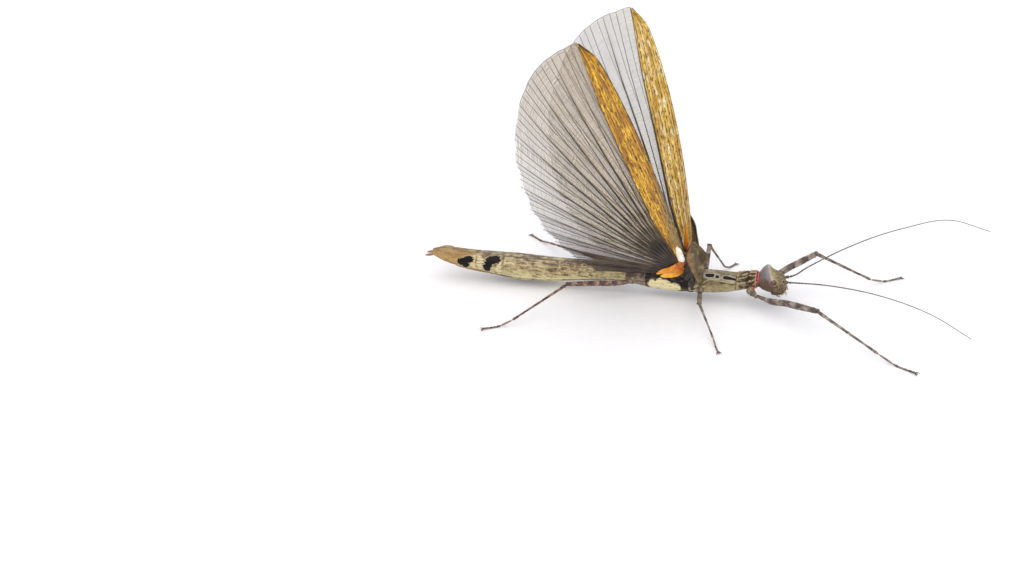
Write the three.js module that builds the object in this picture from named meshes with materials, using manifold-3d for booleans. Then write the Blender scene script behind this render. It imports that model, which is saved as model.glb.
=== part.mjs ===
// A winged stick insect, life size, standing with its wings raised in display.
// Millimetres, +Z up, +X from tail to head, +Y to the insect's left.
// Each plate of the trunk, each leg segment and each wing panel is a closed solid of its own.
import * as THREE from 'three';
import { mergeVertices } from 'three/addons/utils/BufferGeometryUtils.js';
import Module from 'manifold-3d';

// ---------- driving dimensions ----------

const GAP = 0.2; // between pieces that meet
const BODY_SIDES = 16; // sides of the trunk's sections
const LIMB_SIDES = 8;

// The trunk's sections: distance along the body, height of the middle, half height, half width.
const TRUNK = [
  [13.6, 5.98, 1.72, 1.75],
  [12.4, 5.8, 1.88, 1.95],
  [10.0, 5.3, 1.9, 2.05],
  [8.0, 4.88, 2.0, 2.2],
  [5.5, 4.62, 2.3, 2.5],
  [3.0, 4.5, 2.42, 2.6],
  [0.5, 4.4, 2.45, 2.7],
  [-3.0, 4.25, 2.42, 2.7],
  [-7.0, 4.17, 2.4, 2.6],
  [-11.0, 4.38, 2.34, 2.5],
  [-14.5, 4.78, 2.2, 2.35],
  [-18.0, 5.0, 2.12, 2.2],
  [-21.8, 4.8, 2.24, 2.35],
  [-27.5, 4.35, 2.34, 2.5],
  [-32.0, 4.05, 2.53, 2.72],
  [-38.5, 3.9, 2.8, 2.95],
  [-43.7, 4.02, 2.76, 2.9],
  [-48.3, 4.3, 2.5, 2.6],
  [-52.0, 4.58, 2.3, 2.35],
  [-55.8, 4.95, 2.02, 2.05],
  [-59.0, 5.5, 1.6, 1.7],
  [-61.8, 5.85, 1.05, 1.3],
];

// The trunk's plates from head to tail: name, front end, rear end, colour.
const PLATES = [
  ['neck', 13.15, 12.4, 0xb3202c],
  ['prothorax', 12.2, 8.1, 0x6d6042],
  ['mesothorax', 7.9, -1.6, 0x8d8a70],
  ['metathorax', -1.8, -11.4, 0x5b5348],
  ['median_segment', -11.6, -15.9, 0x5a5046],
  ['abdomen_2', -16.1, -22.8, 0x8c8262],
  ['abdomen_3', -23.0, -29.9, 0x8c8262],
  ['abdomen_4', -30.1, -37.1, 0x8f8566],
  ['abdomen_5', -37.3, -44.5, 0x8f8566],
  ['abdomen_6', -44.7, -50.8, 0x8c8262],
  ['abdomen_7', -51.0, -56.2, 0x84764f],
];

// The head's sections, written as the trunk's.
const HEAD = [
  [13.4, 6.05, 1.85, 1.75],
  [14.1, 6.3, 2.6, 2.0],
  [15.1, 6.45, 3.15, 2.15],
  [15.8, 6.1, 2.95, 2.25],
  [16.8, 5.75, 2.55, 2.3],
  [17.7, 5.5, 2.35, 2.15],
  [18.4, 5.2, 2.0, 1.8],
  [18.9, 4.95, 1.5, 1.3],
  [19.15, 4.8, 1.0, 0.8],
];
const EYE = { at: [16.6, 2.02, 6.45], size: [0.72, 0.5, 0.68] };

// The end plate of the abdomen, the flap below it and the pair of cerci.
const TAIL_PLATE = [-56.4, -61.7];
const TAIL_FLAP = { from: [-50.9, 0, 2.75], to: [-56.7, 0, 3.0], halfWidth: 1.1, thick: 0.55 };
const CERCUS = { from: [-61.95, 0.62, 5.5], to: [-63.3, 0.72, 5.15], radii: [0.36, 0.2] };

// Legs: the four joints of each, from coxa to claw, and the radii of femur, tibia and tarsus.
const LEGS = {
  fore: {
    coxa: [11.2, 1.7, 4.35],
    hip: [12.7, 2.75, 3.3],
    left: { knee: [24.75, 6.8, 9.6], ankle: [36.5, 11.6, 1.4], claw: [42.7, 15.4, 0.33] },
    right: { knee: [26.85, -9.3, 4.8], ankle: [40.8, -18.6, 1.4], claw: [48.5, -22.6, 0.33] },
    radii: { coxa: 0.95, femur: [0.42, 0.66, 0.62], tibia: [0.42, 0.3], tarsus: [0.29, 0.25] },
  },
  mid: {
    coxa: [0.6, 2.2, 3.7],
    hip: [0.7, 3.5, 3.2],
    left: { knee: [1.1, 6.8, 9.6], ankle: [3.7, 12.4, 1.05], claw: [5.7, 15.4, 0.33] },
    right: { knee: [1.8, -10.4, 4.7], ankle: [6.2, -18.2, 1.1], claw: [7.9, -22.0, 0.33] },
    radii: { coxa: 0.88, femur: [0.5, 0.52, 0.46], tibia: [0.4, 0.28], tarsus: [0.28, 0.24] },
  },
  hind: {
    coxa: [-14.2, 1.7, 4.2],
    hip: [-15.4, 2.6, 3.85],
    left: { knee: [-27.5, 6.3, 5.0], ankle: [-38.6, 16.6, 1.05], claw: [-44.2, 21.0, 0.33] },
    right: { knee: [-27.9, -8.6, 5.5], ankle: [-38.1, -18.9, 1.25], claw: [-43.8, -21.9, 0.33] },
    radii: { coxa: 0.9, femur: [0.55, 0.6, 0.5], tibia: [0.4, 0.28], tarsus: [0.28, 0.24] },
  },
};
const CLAW_SPREAD = 0.55; // from the foot's middle to a claw's tip

// The points that each antenna passes, from its socket to its tip, and its radius at both ends.
const ANTENNAE = {
  right: [[18.5, -1.05, 6.3], [27.8, -1.5, 6.7], [39.2, -3.5, 6.5], [50.6, -8.4, 5.8], [60.6, -16.6, 5.0]],
  left: [[18.5, 0.95, 6.35], [20.2, 1.05, 6.75], [23.2, 2.0, 8.6], [31.6, 7.4, 11.6],
    [42.3, 15.2, 12.9], [53.3, 21.7, 12.4], [62.8, 22.1, 9.6]],
};
const ANTENNA_RADII = [0.42, 0.25];

// Hindwings. Each lies in a plane that leans outwards, with its front edge swept back.
const WING = {
  root: [-2.5, 2.05, 7.1], // where the veins meet
  length: 58.2,
  reach: 58.9, // the longest vein of the fan
  start: 1.6, // the veins' distance from the root where the panels begin
  bow: 3.4, // how far the front edge bows forward
  rib: 1.65, // the line between front panel and fan, behind the axis
  spread: 70, // degrees from the axis to the last vein of the fan
  pleats: 22, // strips between the fan's veins
  pleatDepth: 0.32,
  fanThick: 0.5,
  panelThick: 0.6,
};
const WING_SET = {
  left: { lean: 11, sweep: 13.5 },
  right: { lean: 2.5, sweep: 21.4 },
};

// The short raised forewings, which stand beside the hindwings' roots.
const TEGMEN = {
  left: { base: [0.75, 3.0, 4.9], tip: [-4.8, 7.0, 19.0], broad: 0.5 },
  right: { base: [0.7, 2.9, 5.0], tip: [-0.6, 3.5, 16.0], broad: 1 },
  // Shares of the length, and the widths there in front of the spine and behind it.
  outline: [[0, 0.3, 0.3], [0.12, 0.5, 0.8], [0.28, 1, 1.45], [0.42, 1.65, 1.9],
    [0.58, 2.25, 2.3], [0.72, 2.6, 2.2], [0.88, 1.3, 1.0], [1, 0.3, 0.3]],
  thick: 0.55,
  dome: 0.75, // height of the shoulder boss
};

const COLOURS = {
  head: 0x8a8790,
  face: 0x6b4a2c,
  eye: 0x5a3a34,
  antenna: 0x4a4038,
  leg: 0x75665a,
  tegmen: 0x77693f,
  frontPanel: 0xa97f2c,
  fan: 0x8d8778,
  tail: 0xa07040,
};

// ---------- solids ----------

const wasm = await Module();
wasm.setup();

const toVector = ([x, y, z]) => new THREE.Vector3(x, y, z);
const flip = (point, side) => [point[0], side * point[1], point[2]];

// A closed geometry from points and triangles, turned so that its faces point out.
function closedGeometry(points, triangles) {
  const volume = triangles.reduce((sum, [a, b, c]) => {
    const normal = new THREE.Vector3().crossVectors(points[b], points[c]);
    return sum + points[a].dot(normal);
  }, 0);
  const outward = volume > 0 ? triangles : triangles.map(([a, b, c]) => [a, c, b]);
  const geometry = new THREE.BufferGeometry().setFromPoints(points);
  geometry.setIndex(outward.flat());
  return geometry;
}

// A skin over rings of equal point counts, with a fan of triangles over each end.
function loft(rings) {
  const sides = rings[0].length;
  const points = rings.flat();
  const triangles = [];
  for (let ring = 0; ring + 1 < rings.length; ring++) {
    for (let side = 0; side < sides; side++) {
      const next = (side + 1) % sides;
      const a = ring * sides + side;
      const b = ring * sides + next;
      triangles.push([a, b, a + sides], [b, b + sides, a + sides]);
    }
  }
  for (const [ring, turned] of [[0, true], [rings.length - 1, false]]) {
    const first = ring * sides;
    for (let side = 1; side + 1 < sides; side++) {
      const corner = [first, first + side, first + side + 1];
      triangles.push(turned ? corner.reverse() : corner);
    }
  }
  return closedGeometry(points, triangles);
}

// A thin sheet: a grid of points, thickened to both sides along one direction.
function sheet(grid, direction, thickness) {
  const rows = grid.length;
  const columns = grid[0].length;
  const half = direction.clone().setLength(thickness / 2);
  const points = [
    ...grid.flat().map((point) => point.clone().add(half)),
    ...grid.flat().map((point) => point.clone().sub(half)),
  ];
  const below = rows * columns;
  const triangles = [];
  for (let row = 0; row + 1 < rows; row++) {
    for (let column = 0; column + 1 < columns; column++) {
      const a = row * columns + column;
      const b = a + 1;
      const c = a + columns;
      const d = c + 1;
      triangles.push([a, b, c], [b, d, c]);
      triangles.push([a + below, c + below, b + below], [b + below, c + below, d + below]);
    }
  }
  const wall = (a, b) => triangles.push([a, a + below, b], [b, a + below, b + below]);
  for (let column = 0; column + 1 < columns; column++) {
    wall(column, column + 1);
    wall((rows - 1) * columns + column + 1, (rows - 1) * columns + column);
  }
  for (let row = 0; row + 1 < rows; row++) {
    wall((row + 1) * columns, row * columns);
    wall(row * columns + columns - 1, (row + 1) * columns + columns - 1);
  }
  return closedGeometry(points, triangles);
}

// A round limb along a list of points, with one radius for each.
function limb(path, radii, sides = LIMB_SIDES) {
  const rings = path.map((point, step) => {
    const ahead = path[Math.min(step + 1, path.length - 1)];
    const behind = path[Math.max(step - 1, 0)];
    const along = new THREE.Vector3().subVectors(ahead, behind).normalize();
    const across = new THREE.Vector3().crossVectors(along, new THREE.Vector3(0, 0, 1)).normalize();
    const over = new THREE.Vector3().crossVectors(across, along);
    return Array.from({ length: sides }, (_, side) => {
      const angle = (2 * Math.PI * (side + 0.5)) / sides;
      return point.clone()
        .addScaledVector(across, radii[step] * Math.cos(angle))
        .addScaledVector(over, radii[step] * Math.sin(angle));
    });
  });
  return loft(rings);
}

// Values between a table's rows, on a smooth curve through them.
function sectionAt(table, x) {
  const rising = table[0][0] < table[1][0] ? table : [...table].reverse();
  const last = rising.length - 1;
  const upper = rising.findIndex((row) => row[0] >= x);
  const high = upper < 0 ? last : Math.max(1, upper);
  const row = (index) => rising[Math.min(last, Math.max(0, index))];
  const [before, from, to, after] = [row(high - 2), row(high - 1), row(high), row(high + 1)];
  const step = to[0] - from[0];
  const t = THREE.MathUtils.clamp((x - from[0]) / step, 0, 1);
  return [1, 2, 3].map((column) => {
    const slopeIn = ((to[column] - before[column]) / (to[0] - before[0])) * step;
    const slopeOut = ((after[column] - from[column]) / (after[0] - from[0])) * step;
    return (2 * t ** 3 - 3 * t ** 2 + 1) * from[column] + (t ** 3 - 2 * t ** 2 + t) * slopeIn
      + (3 * t ** 2 - 2 * t ** 3) * to[column] + (t ** 3 - t ** 2) * slopeOut;
  });
}

// One section of the trunk or head as a ring: a rounded oval, a little squarer below.
function bodyRing(table, x, scale = 1, sides = BODY_SIDES) {
  const [middle, halfHeight, halfWidth] = sectionAt(table, x);
  return Array.from({ length: sides }, (_, side) => {
    const angle = (2 * Math.PI * (side + 0.5)) / sides;
    const square = Math.sin(angle) < 0 ? 0.88 : 0.96;
    const round = (value) => Math.sign(value) * Math.abs(value) ** square;
    return new THREE.Vector3(
      x,
      halfWidth * scale * round(Math.cos(angle)),
      middle + halfHeight * scale * round(Math.sin(angle)),
    );
  });
}

// A plate of the trunk: slightly drawn in at its front, fullest near its rear rim.
function plate(front, rear, steps) {
  const rings = [];
  for (let step = 0; step <= steps; step++) {
    const t = step / steps;
    const scale = 0.965 + 0.05 * Math.sin(Math.PI * Math.min(1, 0.12 + t * 0.72));
    rings.push(bodyRing(TRUNK, THREE.MathUtils.lerp(front, rear, t), scale));
  }
  return loft(rings);
}

function solidOf(geometry) {
  const bare = new THREE.BufferGeometry();
  bare.setAttribute('position', geometry.getAttribute('position').clone());
  bare.setIndex(geometry.index.clone());
  const merged = mergeVertices(bare, 1e-4);
  return new wasm.Manifold(new wasm.Mesh({
    numProp: 3,
    vertProperties: merged.getAttribute('position').array,
    triVerts: new Uint32Array(merged.index.array),
  }));
}

function geometryOf(solid) {
  const mesh = solid.getMesh();
  const geometry = new THREE.BufferGeometry();
  geometry.setAttribute('position', new THREE.BufferAttribute(mesh.vertProperties, 3));
  geometry.setIndex(new THREE.BufferAttribute(mesh.triVerts, 1));
  return geometry;
}

// The same shape with every point moved out along its normal.
function grown(geometry, distance = GAP) {
  const copy = geometry.clone();
  copy.computeVertexNormals();
  const position = copy.getAttribute('position');
  const normal = copy.getAttribute('normal');
  for (let index = 0; index < position.count; index++) {
    position.setXYZ(
      index,
      position.getX(index) + distance * normal.getX(index),
      position.getY(index) + distance * normal.getY(index),
      position.getZ(index) + distance * normal.getZ(index),
    );
  }
  return copy;
}

const largest = (solid) => solid.decompose().sort((a, b) => b.volume() - a.volume())[0];

// A piece cut back so that it clears its neighbours by the gap.
function clearOf(geometry, ...neighbours) {
  const cut = neighbours.reduce(
    (solid, neighbour) => solid.subtract(solidOf(grown(neighbour))),
    solidOf(geometry),
  );
  return geometryOf(largest(cut));
}

const joined = (...geometries) => geometryOf(
  geometries.map(solidOf).reduce((solid, other) => solid.add(other)),
);

const insect = new THREE.Group();
const made = {};

function addPiece(name, geometry, colour, roughness = 0.6) {
  const material = new THREE.MeshStandardMaterial({ color: colour, roughness, metalness: 0 });
  const mesh = new THREE.Mesh(geometry, material);
  mesh.name = name;
  made[name] = geometry;
  insect.add(mesh);
}

// ---------- trunk ----------

for (const [name, front, rear, colour] of PLATES) {
  addPiece(name, plate(front, rear, name === 'neck' ? 2 : 4), colour);
}

const tailRings = [0, 0.2, 0.45, 0.7, 0.88, 1].map((t) => (
  bodyRing(TRUNK, THREE.MathUtils.lerp(...TAIL_PLATE, t), 0.97 - 0.35 * t ** 6)
));
addPiece('abdomen_tip', loft(tailRings), COLOURS.tail);

function tailFlap() {
  const { from, to, halfWidth, thick } = TAIL_FLAP;
  const rings = [0, 0.35, 0.7, 0.9, 1].map((t) => {
    const middle = toVector(from).lerp(toVector(to), t);
    const width = halfWidth * Math.sqrt(1 - 0.9 * t ** 3);
    return Array.from({ length: 10 }, (_, side) => {
      const angle = (2 * Math.PI * side) / 10;
      return middle.clone().add(new THREE.Vector3(0, width * Math.cos(angle), thick * Math.sin(angle)));
    });
  });
  return loft(rings);
}
made.abdomen_7 = joined(made.abdomen_7, tailFlap());
made.abdomen_7 = clearOf(made.abdomen_7, made.abdomen_6, made.abdomen_tip);
insect.getObjectByName('abdomen_7').geometry = made.abdomen_7;

// ---------- head ----------

const headShape = loft(HEAD.map(([x]) => bodyRing(HEAD, x)));

function eyeShape(side) {
  const ball = mergeVertices(new THREE.SphereGeometry(1, 10, 6).deleteAttribute('normal').deleteAttribute('uv'));
  return ball.scale(...EYE.size).translate(...flip(EYE.at, side));
}

const SIDES = { left: 1, right: -1 };
for (const [side, sign] of Object.entries(SIDES)) {
  addPiece(`eye_${side}`, eyeShape(sign), COLOURS.eye, 0.25);
}
addPiece('head', clearOf(headShape, made.eye_left, made.eye_right, made.neck), COLOURS.head, 0.5);

// Upper lip, jaws and feelers under the front of the head, as one piece.
const jaws = loft([16.2, 16.8, 17.6, 18.3, 18.7].map((x, step) => {
  const scale = [0.55, 0.9, 1, 0.85, 0.5][step];
  return Array.from({ length: 12 }, (_, side) => {
    const angle = (2 * Math.PI * side) / 12;
    return new THREE.Vector3(x, 1.25 * scale * Math.cos(angle), 3.15 + 0.7 * scale * Math.sin(angle));
  });
}));
const feelers = [1, -1].flatMap((sign) => [
  limb([[17.9, 0.9, 3.1], [18.7, 1.4, 3.0], [18.95, 1.5, 2.3]].map((p) => toVector(flip(p, sign))),
    [0.26, 0.28, 0.25], 6),
  limb([[16.9, 1.0, 2.9], [17.3, 1.3, 2.35], [17.8, 1.25, 2.05]].map((p) => toVector(flip(p, sign))),
    [0.25, 0.26, 0.25], 6),
]);
addPiece('mouthparts', clearOf(joined(jaws, ...feelers), made.head), COLOURS.face);

for (const side of Object.keys(SIDES)) {
  const path = new THREE.CatmullRomCurve3(ANTENNAE[side].map(toVector), false, 'centripetal');
  const steps = 20;
  const radii = Array.from({ length: steps + 1 }, (_, step) => (
    THREE.MathUtils.lerp(...ANTENNA_RADII, Math.min(1, step / 3))
  ));
  addPiece(`antenna_${side}`, clearOf(limb(path.getSpacedPoints(steps), radii, 6), made.head), COLOURS.antenna);
}

// ---------- legs ----------

const TRUNK_OF_LEG = { fore: ['prothorax', 'neck', 'mesothorax'], mid: ['mesothorax', 'metathorax'],
  hind: ['metathorax', 'median_segment', 'abdomen_2'] };

const pointsBetween = (from, to, steps) => Array.from(
  { length: steps + 1 },
  (_, step) => from.clone().lerp(to, step / steps),
);

// The foot comes down from the ankle, then lies flat along the floor to its two claws.
function foot(ankle, claw, radii) {
  const heel = ankle.clone().lerp(claw, 0.42).setZ(radii[0] + 0.08);
  const path = [...pointsBetween(ankle, heel, 2), ...pointsBetween(heel, claw, 3).slice(1)];
  const sole = limb(path, path.map((_, step) => THREE.MathUtils.lerp(...radii, step / 5)), 8);
  const along = new THREE.Vector3().subVectors(claw, heel).setZ(0).normalize();
  const across = new THREE.Vector3(-along.y, along.x, 0);
  const claws = [-1, 1].map((sign) => {
    const middle = claw.clone().addScaledVector(along, 0.35).addScaledVector(across, sign * CLAW_SPREAD * 0.55);
    const end = claw.clone().addScaledVector(along, 0.8).addScaledVector(across, sign * CLAW_SPREAD).setZ(0.25);
    return limb([claw.clone().addScaledVector(along, -0.25), middle, end], [0.26, 0.25, 0.2], 6);
  });
  const whole = joined(sole, ...claws);
  const position = whole.getAttribute('position');
  for (let index = 0; index < position.count; index++) {
    if (position.getZ(index) < 0.11) position.setZ(index, 0);
  }
  return geometryOf(largest(solidOf(whole)));
}

for (const [pair, leg] of Object.entries(LEGS)) {
  for (const [side, sign] of Object.entries(SIDES)) {
    const name = (part) => `${pair}_${side}_${part}`;
    const coxa = toVector(flip(leg.coxa, sign));
    const hip = toVector(flip(leg.hip, sign));
    const knee = toVector(leg[side].knee);
    const ankle = toVector(leg[side].ankle);
    const claw = toVector(leg[side].claw);
    const { radii } = leg;
    const neighbours = TRUNK_OF_LEG[pair].map((plateName) => made[plateName]);

    const block = limb(pointsBetween(coxa, hip, 3), [1, 1, 0.9, 0.6].map((share) => share * radii.coxa));
    addPiece(name('coxa'), clearOf(block, ...neighbours), COLOURS.leg);

    const [hipRadius, middleRadius, kneeRadius] = radii.femur;
    const thigh = limb(
      pointsBetween(hip, knee.clone().lerp(hip, -0.02), 6),
      [hipRadius, middleRadius * 0.95, middleRadius, middleRadius, kneeRadius, kneeRadius * 1.08, kneeRadius],
    );
    addPiece(name('femur'), clearOf(thigh, made[name('coxa')], ...neighbours), COLOURS.leg);

    const [top, bottom] = radii.tibia;
    const shin = limb(pointsBetween(knee, ankle, 5), [top, top, top * 0.95, bottom, bottom, bottom * 1.15]);
    addPiece(name('tibia'), clearOf(shin, made[name('femur')]), COLOURS.leg);
    addPiece(name('tarsus'), clearOf(foot(ankle, claw, radii.tarsus), made[name('tibia')]), COLOURS.leg);
  }
}

// ---------- wings ----------

// A wing's own frame: outwards along its axis, rearwards across it, and the direction it faces.
function wingFrame(side) {
  const sign = SIDES[side];
  const lean = THREE.MathUtils.degToRad(WING_SET[side].lean);
  const sweep = THREE.MathUtils.degToRad(WING_SET[side].sweep);
  const upright = new THREE.Vector3(0, sign * Math.sin(lean), Math.cos(lean));
  const back = new THREE.Vector3(-1, 0, 0);
  return {
    root: toVector(flip(WING.root, sign)),
    axis: upright.clone().multiplyScalar(Math.cos(sweep)).addScaledVector(back, Math.sin(sweep)),
    rear: back.clone().multiplyScalar(Math.cos(sweep)).addScaledVector(upright, -Math.sin(sweep)),
    face: new THREE.Vector3().crossVectors(upright, back).multiplyScalar(-sign),
  };
}

const onWing = (frame, out, behind, lift = 0) => frame.root.clone()
  .addScaledVector(frame.axis, out)
  .addScaledVector(frame.rear, behind)
  .addScaledVector(frame.face, lift);

const frontEdge = (out) => -WING.bow * Math.sin(Math.PI * Math.min(1, out / WING.length) ** 1.2) ** 0.45;
const ribLine = (out) => (
  WING.rib * Math.min(1, out / 14) ** 0.7 * (1 - 0.45 * THREE.MathUtils.clamp((out - 44) / 14, 0, 1))
);

// How far the fan reaches at an angle behind the wing's axis: a round tip, then steadily less.
const fanReach = (degrees) => {
  const past = degrees - 12;
  return WING.reach * (1 - 0.0054 * (Math.hypot(past, 6) + past));
};

// The wing bellies outwards a little, most at half its length.
const camber = (out) => 1.1 * Math.sin(Math.PI * Math.min(1, out / WING.length));

function frontPanel(frame) {
  const steps = 16;
  const grid = Array.from({ length: steps + 1 }, (_, step) => {
    const out = THREE.MathUtils.lerp(WING.start, WING.length - 0.15, step / steps);
    const rearLine = ribLine(out) - GAP / 2;
    const rounding = 1 - Math.max(0, 1 - (WING.length + 0.3 - out) / 6) ** 2.5;
    const frontLine = THREE.MathUtils.lerp(rearLine, Math.min(frontEdge(out), rearLine - 0.5), rounding);
    return Array.from({ length: 4 }, (_unused, column) => (
      onWing(frame, out, THREE.MathUtils.lerp(frontLine, rearLine, column / 3), camber(out))
    ));
  });
  return sheet(grid, frame.face, WING.panelThick);
}

function fan(frame) {
  const rings = 5;
  const grid = Array.from({ length: WING.pleats + 1 }, (_, vein) => {
    const degrees = (WING.spread * vein) / WING.pleats;
    const angle = THREE.MathUtils.degToRad(degrees);
    const ridge = vein % 2 === 0 ? 1 : -1;
    const reach = fanReach(degrees) - (vein % 2 === 0 ? 0 : 0.5);
    return Array.from({ length: rings + 1 }, (_unused, ring) => {
      const out = THREE.MathUtils.lerp(WING.start, reach, ring / rings);
      const aside = (ribLine(out) + GAP / 2) * (1 - vein / WING.pleats);
      const lift = camber(out * Math.cos(angle)) + (vein ? ridge * WING.pleatDepth * (ring / rings) : 0);
      return onWing(
        frame,
        out * Math.cos(angle) - aside * Math.sin(angle),
        out * Math.sin(angle) + aside * Math.cos(angle),
        lift,
      );
    });
  });
  return sheet(grid, frame.face, WING.fanThick);
}

function tegmen(side) {
  const sign = SIDES[side];
  const { broad } = TEGMEN[side];
  const base = toVector(flip(TEGMEN[side].base, sign));
  const tip = toVector(flip(TEGMEN[side].tip, sign));
  const along = new THREE.Vector3().subVectors(tip, base);
  const facing = new THREE.Vector3(0, sign, -0.12).normalize();
  const across = new THREE.Vector3().crossVectors(facing, along).normalize().multiplyScalar(sign);
  const grid = TEGMEN.outline.map(([t, inFront, inRear]) => (
    [-1, -0.6, -0.2, 0.2, 0.6, 1].map((column) => {
      const half = broad * (column < 0 ? inRear : inFront);
      const boss = Math.exp(-(((t - 0.68) / 0.17) ** 2) - ((column - 0.62) / 0.4) ** 2);
      const roof = 0.35 * (1 - column ** 2);
      return base.clone().addScaledVector(along, t)
        .addScaledVector(across, half * column)
        .addScaledVector(facing, broad * TEGMEN.dome * boss + roof);
    })
  ));
  return sheet(grid, facing, TEGMEN.thick);
}

const WING_NEIGHBOURS = ['mesothorax', 'metathorax', 'median_segment', 'abdomen_2', 'abdomen_3'];
for (const side of Object.keys(SIDES)) {
  const frame = wingFrame(side);
  const neighbours = WING_NEIGHBOURS.map((plateName) => made[plateName]);
  addPiece(`hindwing_front_${side}`, clearOf(frontPanel(frame), ...neighbours), COLOURS.frontPanel, 0.5);
  addPiece(`hindwing_fan_${side}`,
    clearOf(fan(frame), made[`hindwing_front_${side}`], ...neighbours), COLOURS.fan, 0.4);
  addPiece(`tegmen_${side}`,
    clearOf(tegmen(side), made[`hindwing_front_${side}`], made[`hindwing_fan_${side}`],
      made[`mid_${side}_femur`], ...neighbours), COLOURS.tegmen);
}

const CERCUS_PATH = [0, 0.5, 1];
for (const [side, sign] of Object.entries(SIDES)) {
  const from = toVector(flip(CERCUS.from, sign));
  const to = toVector(flip(CERCUS.to, sign));
  const path = CERCUS_PATH.map((t) => from.clone().lerp(to, t));
  const radii = CERCUS_PATH.map((t) => THREE.MathUtils.lerp(...CERCUS.radii, t));
  addPiece(`cercus_${side}`, clearOf(limb(path, radii, 8), made.abdomen_tip), COLOURS.tail);
}

// The origin is the middle of the bottom of the insect's box, on the floor that it stands on.
const box = new THREE.Box3().setFromObject(insect);
const middle = box.getCenter(new THREE.Vector3());
insect.position.set(-middle.x, -middle.y, -box.min.z);

export default insect;
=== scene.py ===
"""A winged stick insect, life size, standing with its wings raised to scare an enemy off.

Lengths are millimetres on the insect's drawing, and become metres when a mesh is made.
+X runs from tail to head, +Y to the insect's left and +Z up from the floor.
"""

import math

import bmesh
import bpy
import numpy as np
from mathutils import Matrix, Vector
from mathutils.kdtree import KDTree


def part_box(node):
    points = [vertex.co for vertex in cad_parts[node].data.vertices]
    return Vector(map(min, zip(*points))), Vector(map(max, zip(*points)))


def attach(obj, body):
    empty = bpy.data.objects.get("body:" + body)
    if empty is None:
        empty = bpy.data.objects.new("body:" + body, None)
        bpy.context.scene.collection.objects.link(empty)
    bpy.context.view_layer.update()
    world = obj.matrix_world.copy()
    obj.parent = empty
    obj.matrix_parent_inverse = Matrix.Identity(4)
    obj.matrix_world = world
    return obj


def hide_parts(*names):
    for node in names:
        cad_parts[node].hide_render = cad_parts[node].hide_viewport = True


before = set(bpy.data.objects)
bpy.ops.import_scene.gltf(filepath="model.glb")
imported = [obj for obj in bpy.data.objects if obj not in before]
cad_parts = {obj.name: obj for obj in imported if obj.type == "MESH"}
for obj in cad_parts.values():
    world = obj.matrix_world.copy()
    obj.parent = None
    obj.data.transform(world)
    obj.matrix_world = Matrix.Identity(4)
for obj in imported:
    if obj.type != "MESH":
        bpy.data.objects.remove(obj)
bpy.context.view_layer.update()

# ---- Camera ----
# A long lens stands back from the insect's right flank, a little towards its head, and looks
# down on it. It points well left of the insect, so the left of the view is empty.

DRAWN_EYES = Vector((0.0166, 0, 0.00645))  # the middle between the eyes, on the drawing
eye_corners = [corner for side in ("left", "right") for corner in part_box(f"eye_{side}")]
drawing_zero = sum(eye_corners, Vector()) / 4 - DRAWN_EYES

CAMERA_TURN, CAMERA_RISE = math.radians(10), math.radians(31)
CAMERA_DISTANCE = 0.380
AIM_LEFT, AIM_UP = 0.1105, 0.0053  # slopes from the insect's feet to the middle of the view

away = Vector((
    math.sin(CAMERA_TURN) * math.cos(CAMERA_RISE),
    -math.cos(CAMERA_TURN) * math.cos(CAMERA_RISE),
    math.sin(CAMERA_RISE),
))
rightward = Vector((math.cos(CAMERA_TURN), math.sin(CAMERA_TURN), 0))
upward = away.cross(rightward)
behind_lens = (away + AIM_LEFT * rightward - AIM_UP * upward).normalized()
lens_right = upward.cross(behind_lens).normalized()
lens_up = behind_lens.cross(lens_right)

camera = bpy.data.objects.new("camera", bpy.data.cameras.new("camera"))
camera.data.lens = 59.6
camera.data.sensor_width = 36
camera.data.clip_start = 0.01
camera.matrix_world = Matrix.Translation(drawing_zero + CAMERA_DISTANCE * away) @ Matrix(
    (lens_right, lens_up, behind_lens)
).transposed().to_4x4()
bpy.context.scene.collection.objects.link(camera)
bpy.context.scene.camera = camera

# ---- Skin under the plates ----
# Soft dark skin joins the insect's plates and lets them slide over each other. It is one tube
# from neck to tail, a little narrower than the plates, and shows only where they part.

# The trunk's sections: distance along the body, height of the middle, half height, half width.
TRUNK = np.array([
    (13.6, 5.98, 1.72, 1.75), (12.4, 5.8, 1.88, 1.95), (10.0, 5.3, 1.9, 2.05),
    (8.0, 4.88, 2.0, 2.2), (5.5, 4.62, 2.3, 2.5), (3.0, 4.5, 2.42, 2.6),
    (0.5, 4.4, 2.45, 2.7), (-3.0, 4.25, 2.42, 2.7), (-7.0, 4.17, 2.4, 2.6),
    (-11.0, 4.38, 2.34, 2.5), (-14.5, 4.78, 2.2, 2.35), (-18.0, 5.0, 2.12, 2.2),
    (-21.8, 4.8, 2.24, 2.35), (-27.5, 4.35, 2.34, 2.5), (-32.0, 4.05, 2.53, 2.72),
    (-38.5, 3.9, 2.8, 2.95), (-43.7, 4.02, 2.76, 2.9), (-48.3, 4.3, 2.5, 2.6),
    (-52.0, 4.58, 2.3, 2.35), (-55.8, 4.95, 2.02, 2.05), (-59.0, 5.5, 1.6, 1.7),
    (-61.8, 5.85, 1.05, 1.3),
])


def along_curve(knots, values, at):
    """A smooth curve through values at rising knots, read at other places."""
    knots, values = np.asarray(knots, float), np.asarray(values, float)
    slopes = np.gradient(values, knots, axis=0)
    step = np.clip(np.searchsorted(knots, at) - 1, 0, len(knots) - 2)
    width = knots[step + 1] - knots[step]
    t = np.clip((at - knots[step]) / width, 0, 1)
    if values.ndim > 1:
        t, width = t[:, None], width[:, None]
    return (
        (1 + 2 * t) * (1 - t) ** 2 * values[step]
        + t * (1 - t) ** 2 * width * slopes[step]
        + t**2 * (3 - 2 * t) * values[step + 1]
        - t**2 * (1 - t) * width * slopes[step + 1]
    )


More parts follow.
